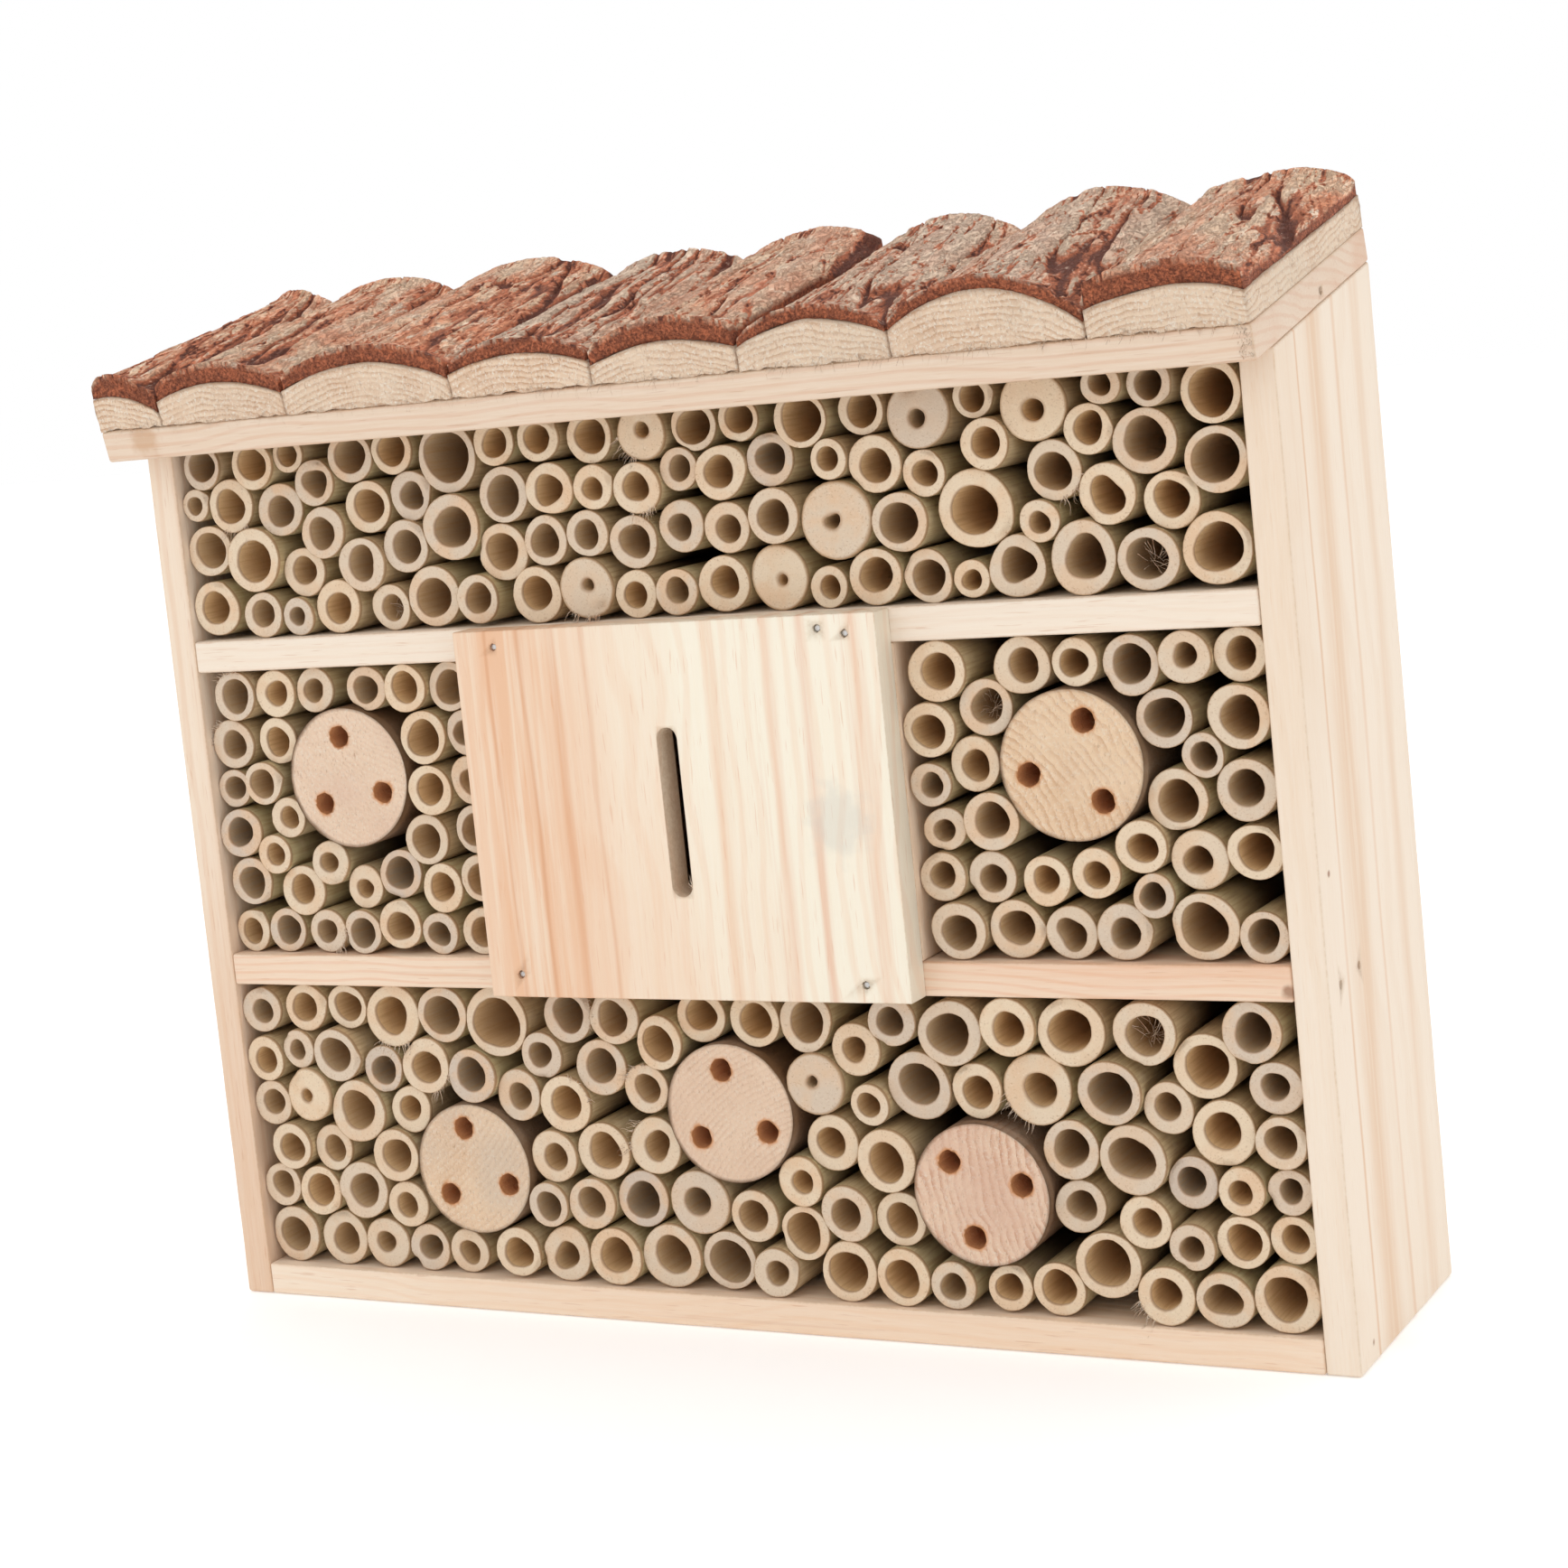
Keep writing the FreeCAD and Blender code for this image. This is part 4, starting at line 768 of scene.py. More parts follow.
def softCopy(name, finish, width):
    # a copy of a CAD piece with its loose triangles merged and its edges softened
    mesh = nodes[name].data.copy()
    mesh.materials.clear()
    mesh.materials.append(finish)
    piece = linked("shown_" + name, mesh)
    weld = piece.modifiers.new("weld", "WELD")
    weld.merge_threshold = 0.00001
    flat = piece.modifiers.new("flat", "DECIMATE")
    flat.decimate_type = "DISSOLVE"
    flat.angle_limit = math.radians(2)
    soft = piece.modifiers.new("soft", "BEVEL")
    soft.width = width
    soft.segments = 2
    soft.limit_method = "ANGLE"
    soft.angle_limit = math.radians(40)
    soft.harden_normals = True
    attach(piece, "root")
    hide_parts(name)
    return piece


softCopy("back_board", pine["back_board"], 0.0003)
zinc = makeSteel("zincPlate", {"dark": (150, 152, 156), "bright": (206, 208, 210), "rough": 0.3,
                               "rust": (150, 92, 50), "rustMost": 0.15})
nailSteel = makeSteel("nailSteel", {"dark": (168, 166, 164), "bright": (226, 225, 223), "rough": 0.35,
                                    "rust": (150, 108, 80), "rustMost": 0.3})
for name in ("hanger_left", "hanger_right"):
    softCopy(name, zinc, 0.00025)
for name in ("roof_nails", "slab_nails", "hanger_screws"):
    nodes[name].data.materials.clear()
    nodes[name].data.materials.append(nailSteel)
print("box built")

# the roof's slabs and their bark

slabLook = {
    "sawn": {"early": (247, 219, 190), "late": (206, 154, 114), "ring": 215.0, "contrast": 0.8,
             "fuzz": 0.9, "tint": (226, 210, 188), "tintMost": 0.35, "rim": (140, 92, 56),
             "hole": (178, 104, 70)},
    "roughFace": 0.00045,     # depth of the saw's marks on the ends
    "pith": 0.050,            # how far below its crown a slab's rings are centred
    "grey": (0.15, 0.05, 0.10, 0.75, 0.20, 0.80, 0.70, 0.10),
}
barkLook = {
    "crack": (104, 52, 36), "flank": (208, 122, 84), "plate": (238, 202, 168),
    "plateRed": (232, 154, 114), "plateGrey": (222, 200, 178), "flake": (252, 228, 202),
    "scale": (176, 104, 72), "section": (184, 102, 64), "sectionDark": (120, 60, 36),
    "lean": 0.12,             # how far the cracks lean across the slope
    "crackDeep": 0.0019,      # depth of the cracks
    "flakes": 3.4,            # layers of flakes over the height of the relief
    "flakeStep": 0.0011,      # depth from the highest flakes to the lowest
}
slabWood = makeSawn("slabWood", slabLook["sawn"])
pineBark = makeBark(barkLook)


def inRoof(points):
    # a CAD point as (across, up the slope, square above the roof board's underside)
    gap = points - roofFoot
    return np.stack([points[:, 0], gap[:, 1] * math.cos(pitch) + gap[:, 2] * math.sin(pitch),
                     -gap[:, 1] * math.sin(pitch) + gap[:, 2] * math.cos(pitch)], -1)


def outlineOf(name, under=None):
    # the top line of a slab or its bark, as two arrays: place across, height over the underside.
    # For the bark, the line of the slab under it is given, and points near that line are left out.
    local = inRoof(np.concatenate(islandsOf(name)))
    front = local[local[:, 1] < 0.0005]
    if under:
        front = front[front[:, 2] > np.interp(front[:, 0], *under) + 0.0012]
    xs = np.unique(np.round(front[:, 0], 5))
    return xs, np.array([front[np.abs(front[:, 0] - x) < 2e-5][:, 2].max() for x in xs])


def makeSlab(number):
    # wood: a block whose top follows the crowned line; both ends are saw-rough, the long sides
    # wander a little
    name = "roof_slab_%d" % number
    xs, tops = outlineOf(name)
    seed = 300 + number
    points, quads = blockSurface(np.linspace(0, 1, 44), np.linspace(0, 1, 20), np.linspace(0, 1, 12))
    x = xs[0] + (xs[-1] - xs[0]) * points[:, 0]
    top = np.interp(x, xs, tops)
    along = roofRun * points[:, 1]
    wave = 0.00045 * noiseAt(x * 120, along * 60, x * 0, seed)
    above = roofThick + (top + wave - roofThick) * points[:, 2]
    end = np.where(points[:, 1] < 0.001, 1.0, np.where(points[:, 1] > 0.999, -1.0, 0.0))
    saw = noiseAt(x * 1500, above * 700, x * 0 + seed, seed, 3)
    along = along + end * slabLook["roughFace"] * (saw - 0.3) \
        + end * 0.0006 * noiseAt(x * 160, above * 160, x * 0 + seed, seed + 1, 2)
    rim = np.clip(1 - (top - above) / 0.0006, 0, 1) * 0.5
    # the lower edge is splintered and stands a little off the roof board
    above = above + (end > 0) * (points[:, 2] < 0.05) * 0.0007 * np.clip(
        0.3 + noiseAt(x * 420, x * 0, x * 0 + seed, seed + 6, 3), 0, 1)
    crownX = xs[np.argmax(tops)]
    section = np.stack([x - crownX, above - tops.max() + slabLook["pith"]], -1)
    tint = np.full(len(points), hashed(np.array([number]), np.array([3]), np.array([1]), 5)[0])
    patch = stepUp(noiseAt(x * 60, along * 40, above * 60, seed + 2, 2), 0.0, 0.5)
    spot = np.stack([rim, tint * 0.6 + 0.4 * patch, x * 0, x * 0 + 1], -1)
    makePiece("slab_wood_%d" % number, roofPoint(x, along, above), quads, slabWood, spot=spot,
              section=section, replaces=[name])


def makeSlabBark(number):
    # bark: a shell between the wood and a weathered top. Long cracks run up the slope where slow
    # noise crosses zero, and the plates between them are built of flakes, which are noise cut into
    # steps. All of it stays under the CAD outline.
    name = "roof_bark_%d" % number
    slabXs, slabTops = outlineOf("roof_slab_%d" % number)
    barkXs, barkTops = outlineOf(name, (slabXs, slabTops))
    seed = 500 + 7 * number
    across, up, thick = 124, 230, 4
    points, quads = blockSurface(np.linspace(0, 1, across), np.linspace(0, 1, up), np.linspace(0, 1, thick))
    x = barkXs[0] + (barkXs[-1] - barkXs[0]) * points[:, 0]
    along = roofRun * points[:, 1]
    under = np.interp(x, slabXs, slabTops) + 0.0001
    outer = np.interp(x, barkXs, barkTops)
    # everything leans a little across the slope, and is bent so that no crack runs straight
    flat = x * 0
    bend = 0.0016 * noiseAt(x * 150, along * 60, flat + seed, seed, 3)
    lane = x + bend + barkLook["lean"] * along
    # plates parted by long cracks: where slow noise crosses zero
    wide = noiseAt(lane * 105, along * 9, flat + seed, seed + 3, 3)
    crack = stepUp(np.abs(wide), 0.0, 0.075)
    split = noiseAt(lane * 260, along * 24, flat + seed, seed + 9, 3)
    hairline = stepUp(np.abs(split), 0.0, 0.10)
    crossing = noiseAt(lane * 90, along * 85, flat + seed, seed + 13, 3)
    snap = 1 - (1 - stepUp(np.abs(crossing), 0.0, 0.09)) * stepUp(wide, 0.1, 0.35)
    # each plate is a pile of flakes: noise cut into steps
    layers = noiseAt(lane * 190, along * 34, flat + seed, seed + 21, 5, 0.6)
    height = layers * barkLook["flakes"]
    stepped = np.round(height) / barkLook["flakes"]
    lip = stepUp(np.abs(height - np.round(height)), 0.34, 0.5)
    fine = noiseAt(lane * 900, along * 110, flat + seed, seed + 31, 3)
    value = stepUp(wide, -0.5, 0.5)
    drop = barkLook["crackDeep"] * (1 - crack) + 0.0005 * (1 - hairline) + 0.0006 * (1 - snap) \
        + barkLook["flakeStep"] * (0.8 - stepped) + 0.00020 * (1 - fine) + 0.0008 * (1 - value)
    # both ends are sawn, so that the outline there is smoother than the face
    calm = stepUp(np.minimum(along, roofRun - along), 0.0, 0.005)
    drop = drop * (0.35 + 0.65 * calm)
    body = np.maximum(outer - under, 0.0008)
    edge = np.minimum(np.minimum(x - barkXs[0], barkXs[-1] - x), 0.003) / 0.003
    drop = drop + 0.0007 * (1 - edge) ** 2
    drop = np.clip(drop, 0, body - 0.0007)
    lift = under + (body - drop) * points[:, 2]
    # the sawn ends are grainy, the sides a little uneven
    end = np.where(points[:, 1] < 0.001, 1.0, np.where(points[:, 1] > 0.999, -1.0, 0.0))
    grain = noiseAt(x * 1100, lift * 900, flat + seed, seed + 41, 3)
    along = along + end * 0.00035 * (grain + 0.8)
    side = np.where(points[:, 0] < 0.001, 1.0, np.where(points[:, 0] > 0.999, -1.0, 0.0))
    uneven = noiseAt(along * 300, lift * 300, flat + seed, seed + 43, 3)
    x = x + side * 0.0003 * (uneven + 0.6)
    raised = (0.35 + 0.65 * hairline) * (0.60 + 0.45 * stepped + 0.25 * value)
    relief = np.clip(crack * raised - 0.35 * lip, 0, 1)
    relief = relief * (0.72 + 0.28 * stepUp(roofRun * points[:, 1], 0.0, 0.012))
    cut = np.where((points[:, 2] < 0.999) & ((end != 0) | (side != 0)), 1.0, 0.0)
    # some slabs are greyer than others, and each plate a little different
    tone = np.clip(slabLook["grey"][number - 1] + 0.5 * (value - 0.5), 0, 1)
    spot = np.stack([relief, tone, cut, flat + 1], -1)
    makePiece("slab_bark_%d" % number, roofPoint(x, along, lift), quads, pineBark, spot=spot,
              replaces=[name])


for number in range(1, 9):
    makeSlab(number)
    makeSlabBark(number)
print("roof built")

# bamboo canes

caneLook = {
    "around": 30,             # points round a cane
    "oval": 0.045,            # how far its outline strays from a circle
    "tilt": 0.10,             # how far from square its end is sawn
    "roughEnd": 0.00022,      # depth of the saw's marks
    "face": (232, 210, 180), "faceGrey": (208, 190, 172), "faceWarm": (226, 188, 150),
    "faceLight": (248, 234, 214), "pore": (166, 128, 94), "lining": (166, 124, 84),
    # the first two bore colours are the bore's own amber, painted lighter at the mouth as painted light and
    # darker deeper in as painted shade
    "boreMouthLit": (240, 204, 152), "boreDeepShade": (208, 160, 104), "boreGrey": (166, 148, 128),
    "boreStreak": (198, 156, 106), "skin": (222, 194, 152), "skinGreen": (206, 190, 144),
    # the last colour on the next line is painted shade for skin lying deep in the gaps between canes
    "skinDark": (170, 134, 94), "skinPale": (236, 214, 178), "skinGapShade": (98, 70, 44),
}
bambooCane = makeBamboo(caneLook)


def caneSurface(centre, outer, bore, mouth, back, seed):
    # a tube read off rows of (place through the wall, depth): up the skin to the mouth, over the
    # sawn end to the bore, and down the bore to the knot that closes it. The outline is a circle
    # pulled out of round by waves of two and three, and the bore has its own.
    count = caneLook["around"]
    pick = hashed(np.arange(16) + seed, np.arange(16) * 7, np.arange(16) * 0 + 3, 77)
    turn = np.linspace(0, 2 * math.pi, count, endpoint=False)
    strange = 1.0 + 1.1 * (pick[0] > 0.9)
    twofold = np.cos(2 * (turn - 6.28 * pick[2]))
    threefold = np.cos(3 * (turn - 6.28 * pick[4]))
    shape = 1 + caneLook["oval"] * strange * (0.6 * pick[1] * twofold + 0.4 * pick[3] * threefold)
    hollow = 1 + 0.07 * strange * pick[5] * np.cos(2 * (turn - 6.28 * pick[6])) \
        + 0.05 * strange * pick[7] * np.cos(3 * (turn - 6.28 * pick[8])) \
        + 0.02 * noiseAt(4 * np.cos(turn), 4 * np.sin(turn), turn * 0 + seed, seed, 2)
    shift = (outer - bore) * 0.16 * np.array([np.cos(6.28 * pick[9]), np.sin(6.28 * pick[9])])
    deep = min(back - mouth - 0.006, 0.030 + 0.026 * pick[10])
    rows = [(1, back - mouth), (1, 0.024), (1, 0.008), (1, 0.0022), (1, 0.0007), (0.985, 0.0001), (0.93, 0),
            (0.78, 0), (0.6, 0), (0.42, 0), (0.24, 0), (0.09, 0), (0.02, 0.0001), (0, 0.0006), (0, 0.0022),
            (0, 0.006), (0, 0.014), (0, deep * 0.75), (0, deep - 0.0012), (-0.5, deep), (-0.999, deep)]
    if bore < 0.0022:
        rows[7:12] = [(0.85, 0), (0.7, 0), (0.55, 0), (0.35, 0), (0.15, 0)]
    through = np.array([r[0] for r in rows])[:, None]
    depth = np.array([r[1] for r in rows])[:, None]
    inner = bore * hollow[None, :]
    wall = np.clip(through, 0, 1)
    radius = inner + (outer * shape[None, :] - inner) * wall
    radius = radius * (1 - 0.06 * stepUp(depth, 0.004, 0.03) * (through <= 0))
    radius = radius * np.where(through < 0, 1 + through, 1.0)
    px = radius * np.cos(turn)[None, :] + shift[0] * (1 - wall)
    pz = radius * np.sin(turn)[None, :] + shift[1] * (1 - wall)
    lean = caneLook["tilt"] * (pick[11:13] - 0.5)
    atMouth = np.exp(-depth / 0.004)
    rough = noiseAt(px * 1400, pz * 900, px * 0 + seed, seed + 1, 3)
    py = mouth + depth + atMouth * (lean[0] * px + lean[1] * pz + 0.0003
                                    + caneLook["roughEnd"] * rough * (through > 0) * (through < 0.99))
    # a sliver torn from the rim of some
    if pick[13] > 0.7:
        torn = np.exp(-((np.angle(np.exp(1j * (turn - 6.28 * pick[14])))) / 0.25) ** 2)[None, :]
        py = py + 0.0012 * torn * atMouth * (through > 0.6)
    points = np.stack([centre[0] + px, py, centre[1] + pz], -1).reshape(-1, 3)
    points = np.concatenate([points, [[centre[0], back, centre[1]]]])
    tone = np.clip(0.05 + 0.75 * pick[15] ** 1.5 + 0.4 * (pick[12] > 0.87), 0, 1)
    spot = np.zeros((len(rows), count, 4))
    spot[..., 0] = wall
    spot[..., 1] = tone
    spot[..., 2] = np.where(depth > 0.0015, np.clip(0.05 + depth / 0.035, 0, 1), 0)
    spot[..., 3] = pick[8]
    spot = np.concatenate([spot.reshape(-1, 4), [[1, tone, 1, pick[8]]]])
    faces = tubeFaces(len(rows), count)[:, ::-1]
    last = len(rows) * count
    ring = np.arange(count)
    closeBack = np.stack([np.full(count, last), np.roll(ring, -1), ring, ring], -1)
    return points, faces, closeBack, spot


def makeCanes(name, base):
    allPoints, allFaces, allSpots, count = [], [], [], 0
    for k, points in enumerate(islandsOf(name)):
        low, high = points.min(0), points.max(0)
        centre = ((low[0] + high[0]) / 2, (low[2] + high[2]) / 2)
        away = np.hypot(points[:, 0] - centre[0], points[:, 2] - centre[1])
        atMouth = points[:, 1] < low[1] + 0.0002
        made, faces, closing, spot = caneSurface(centre, away.max(), away[atMouth].min(), low[1], high[1],
                                                 base + 13 * k)
        allPoints.append(made)
        allFaces.extend((faces + count).tolist())
        allFaces.extend([[a + count, b + count, c + count] for a, b, c, _ in closing.tolist()])
        allSpots.append(spot)
        count += len(made)
    points = np.concatenate(allPoints)
    mesh = bpy.data.meshes.new("bamboo_" + name)
    mesh.from_pydata(points.tolist(), [], allFaces)
    mesh.polygons.foreach_set("use_smooth", np.ones(len(mesh.polygons), bool))
    layer = mesh.attributes.new("spot", "FLOAT_COLOR", "POINT")
    layer.data.foreach_set("color", np.concatenate(allSpots).astype(np.float32).ravel())
    mesh.materials.append(bambooCane)
    piece = linked("bamboo_" + name, mesh)
    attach(piece, "root")
    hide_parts(name)


for k, name in enumerate(sorted(n for n in nodes if n.startswith("canes"))):
    makeCanes(name, 1000 * (k + 1))
print("canes built")

# drilled logs

logLook = {
    "around": 96, "rings": 26, "ragged": 0.10, "bark": 0.0006, "rough": 0.0004,
    # early wood, late wood, ring spacing, contrast and the place of the pith for each
    "log_left": {"early": (248, 218, 190), "late": (230, 190, 160), "ring": 230.0, "contrast": 0.3,
                 "fuzz": 0.5, "tint": (236, 200, 176), "tintMost": 0.5, "pith": (0.030, 0.040)},
    "log_right": {"early": (248, 216, 180), "late": (212, 160, 116), "ring": 150.0, "contrast": 0.65,
                  "fuzz": 0.45, "tint": (244, 216, 186), "tintMost": 0.3, "pith": (-0.034, -0.022)},
    "log_bottom_left": {"early": (246, 214, 180), "late": (220, 178, 142), "ring": 190.0, "contrast": 0.4,
                        "fuzz": 0.5, "tint": (212, 198, 182), "tintMost": 0.4, "pith": (-0.040, 0.050)},
    "log_bottom_centre": {"early": (246, 216, 188), "late": (220, 176, 144), "ring": 230.0,
                          "contrast": 0.45, "fuzz": 0.45, "tint": (236, 200, 172), "tintMost": 0.4,
                          "pith": (0.030, -0.036)},
    "log_bottom_right": {"early": (248, 216, 188), "late": (208, 146, 112), "ring": 150.0, "contrast": 0.75,
                         "fuzz": 0.45, "tint": (232, 190, 166), "tintMost": 0.5, "pith": (0.062, 0.012)},
}


def makeLog(name, seed):
    # a lathe-turned log: rows of (radius, depth), its end dished and saw-rough, its side a little
    # uneven; the three holes are cut with ragged bars where the CAD holes are
    look = dict(logLook[name], rim=(120, 84, 50), hole=(226, 156, 100))
    finish = makeSawn("logWood_" + name, look)
    shape = islandsOf(name)[0]
    low, high = shape.min(0), shape.max(0)
    centre = np.array([(low[0] + high[0]) / 2, (low[2] + high[2]) / 2])
    radius = (high[0] - low[0]) / 2
    count = logLook["around"]
    turn = np.linspace(0, 2 * math.pi, count, endpoint=False)
    circle = np.stack([1.6 * np.cos(turn), 1.6 * np.sin(turn), turn * 0 + seed], -1)
    outline = 1 - 0.012 + 0.012 * roughNoise(circle, seed, 3)
    discs = np.linspace(0.03, 0.985, logLook["rings"])
    rows = [(r, 0.0) for r in discs] + [(1.0, 0.0004), (1.0, 0.004), (1.0, 0.02), (1.0, high[1] - low[1]),
                                        (0.5, high[1] - low[1]), (0.03, high[1] - low[1])]
    share = np.array([r[0] for r in rows])[:, None]
    depth = np.array([r[1] for r in rows])[:, None]
    px = radius * share * outline[None, :] * np.cos(turn)[None, :]
    pz = radius * share * outline[None, :] * np.sin(turn)[None, :]
    front = (depth < 0.0001) * 1.0
    saw = noiseAt(px * 900, pz * 500, px * 0 + seed, seed, 4)
    swell = noiseAt(px * 90, pz * 90, px * 0 + seed, seed + 1, 2)
    py = low[1] + depth + front * (logLook["rough"] * (0.7 + saw) + 0.0004 * (1 + swell))
    points = np.stack([centre[0] + px, py, centre[1] + pz], -1).reshape(-1, 3)
    faces = tubeFaces(len(rows), count).tolist()
    ends = [[centre[0], low[1] + 0.0008, centre[1]], [centre[0], high[1], centre[1]]]
    first = len(points)
    points = np.concatenate([points, ends])
    faces += [[first, k, (k + 1) % count] for k in range(count)]
    last = (len(rows) - 1) * count
    faces += [[first + 1, last + (k + 1) % count, last + k] for k in range(count)]
    way = points[:, [0, 2]] - centre
    section = way - np.array(look["pith"])
    far = np.hypot(way[:, 0], way[:, 1]) / radius
    rim = stepUp(far, 0.955, 0.995)
    spread = np.stack([points[:, 0] * 60, points[:, 2] * 60, points[:, 0] * 0 + seed], -1)
    tone = stepUp(roughNoise(spread, seed + 2, 3), -0.3, 0.5)
    spot = np.stack([rim, tone, rim * 0, rim * 0 + 1], -1)
    piece = makePiece("sawn_" + name, points, np.array(faces, dtype=object), finish, spot=spot,
                      section=section, replaces=[name])
    # the CAD holes: points of the end that lie well inside it
    end = shape[(shape[:, 1] < low[1] + 0.0002)]
    inside = end[np.hypot(end[:, 0] - centre[0], end[:, 2] - centre[1]) < radius * 0.93]
    angle = np.arctan2(inside[:, 2] - centre[1], inside[:, 0] - centre[0])
    order = np.argsort(angle)
    inside, angle = inside[order], angle[order]
    gaps = np.diff(np.concatenate([angle, [angle[0] + 2 * math.pi]]))
    starts = np.sort(np.argsort(gaps)[-3:])
    cutters, holes = [], []
    for k in range(3):
        stop = starts[(k + 1) % 3] + 1 + (len(inside) if k == 2 else 0)
        group = inside[np.arange(starts[k] + 1, stop) % len(inside)]
        middle = (group.min(0) + group.max(0)) / 2
        wide = (group[:, 0].max() - group[:, 0].min()) / 2
        cutters.append(roundCutter((middle[0], low[1], middle[2]), (0, 1, 0), wide, 0.034,
                                   seed + k, logLook["ragged"], 26))
        holes.append((middle, wide))
    cutAway(piece, cutters)
    # mark the walls of the holes, so that they take their own colour
    mesh = piece.data
    co = np.zeros(len(mesh.vertices) * 3)
    mesh.vertices.foreach_get("co", co)
    co = co.reshape(-1, 3)
    colours = np.zeros(len(mesh.vertices) * 4, np.float32)
    layer = mesh.attributes["spot"]
    layer.data.foreach_get("color", colours)
    colours = colours.reshape(-1, 4)
    for middle, wide in holes:
        near = np.hypot(co[:, 0] - middle[0], co[:, 2] - middle[2]) < wide * 1.25
        deeper = stepUp(co[:, 1], low[1] + 0.0001, low[1] + 0.0012)
        colours[:, 2] = np.where(near, np.maximum(colours[:, 2], deeper), colours[:, 2])
        mouth = near & (co[:, 1] < low[1] + 0.002)
        colours[:, 2] = np.where(mouth, np.maximum(colours[:, 2], 0.55), colours[:, 2])
    layer.data.foreach_set("color", colours.ravel())


for k, name in enumerate(sorted(n for n in nodes if n.startswith("log_"))):
    makeLog(name, 700 + 20 * k)
print("logs built")

# nails


def makeNails(name, towards):
    # each nail is turned: a slightly domed head with a soft edge, on its shank
    allPoints, allFaces, count = [], [], 0
    way = np.array(towards, float)
    turnTo = np.array(Vector(towards).to_track_quat("Z", "Y").to_matrix())
    around = 16
    turn = np.linspace(0, 2 * math.pi, around, endpoint=False)
    for points in islandsOf(name):
        low, high = points.min(0), points.max(0)
        head = np.where(way > 0, high, np.where(way < 0, low, (low + high) / 2))
        wide = np.sort(high - low)[1] / 2
        long = (high - low).max()
        sunk = -boxLook["nailDent"] * 0.55
        rows = [(0.00002, sunk + 0.00022), (0.5 * wide, sunk + 0.0002), (0.85 * wide, sunk + 0.0001),
                (wide, sunk - 0.0001), (wide, sunk - 0.0004), (0.55 * wide, sunk - 0.0005),
                (0.55 * wide, -long + 0.001), (0.00002, -long)]
        ring = np.stack([np.cos(turn), np.sin(turn)], -1)
        made = np.concatenate([np.concatenate([ring * r, np.full((around, 1), z)], 1) for r, z in rows])
        allPoints.append(made @ turnTo.T + head)
        allFaces.append(tubeFaces(len(rows), around)[:, ::-1] + count)
        ends = [list(range(around)), [len(rows) * around - 1 - k for k in range(around)]]
        allFaces += [[[k + count for k in end] for end in ends]]
        count += len(made)
    points = np.concatenate(allPoints)
    faces = []
    for part in allFaces:
        faces += part.tolist() if isinstance(part, np.ndarray) else part
    makePiece("turned_" + name, points, np.array(faces, dtype=object), nailSteel, replaces=[name])


makeNails("side_nails_left", (-1, 0, 0))
makeNails("side_nails_right", (1, 0, 0))
makeNails("front_nails", (0, -1, 0))
makeNails("back_nails", (0, 1, 0))
print("nails built")

# torn fibres

fibreLook = {
    "slabEdge": 420, "corner": 60, "long": 0.0040, "thick": 0.00008,
    "tufted": 16, "perTuft": 22,          # canes with a frayed rim, and the hairs on each
    # canes with torn pith inside: across, height
    "torn": ((0.118, 0.179), (0.0745, 0.1565), (0.107, 0.067), (-0.0755, 0.176)),
}


def makeStrands(name, start, way, sag, thick, seed):
    # thin tapered hairs, one a row: a three-sided tube along a line that starts one way and sags
    count, rows, around = len(start), 6, 3
    k = np.arange(count)
    curl = [hashed(k, k * 3 + s, k * 0, seed + s) - 0.5 for s in range(3)]
    t = np.linspace(0, 1, rows)[None, :, None]
    long = np.linalg.norm(way, axis=1)[:, None, None]
    bend = np.stack(curl, -1)[:, None, :] * long * 0.9 * np.sin(3 * t)
    droop = np.array([0, 0, 1]) * sag[:, None, None] * t ** 2
    middle = start[:, None, :] + way[:, None, :] * t + bend * t - droop
    turn = np.linspace(0, 2 * math.pi, around, endpoint=False)
    ring = np.stack([np.cos(turn), 0.4 * np.sin(turn + 1), np.sin(turn)], -1)
    wide = thick * (1.05 - 0.85 * t) * (0.6 + 0.8 * (curl[0] + 0.5))[:, None, None]
    points = (middle[:, :, None, :] + ring[None, None] * wide[..., None]).reshape(-1, 3)
    faces = np.concatenate([tubeFaces(rows, around, c * rows * around) for c in range(count)])
    spot = np.repeat(np.stack([k * 0.0, curl[1] + 0.5, k * 0.0, k * 0.0 + 1], -1), rows * around, 0)
    makePiece(name, points, faces, slabWood, spot=spot, section=points[:, [0, 2]] * 0.2)


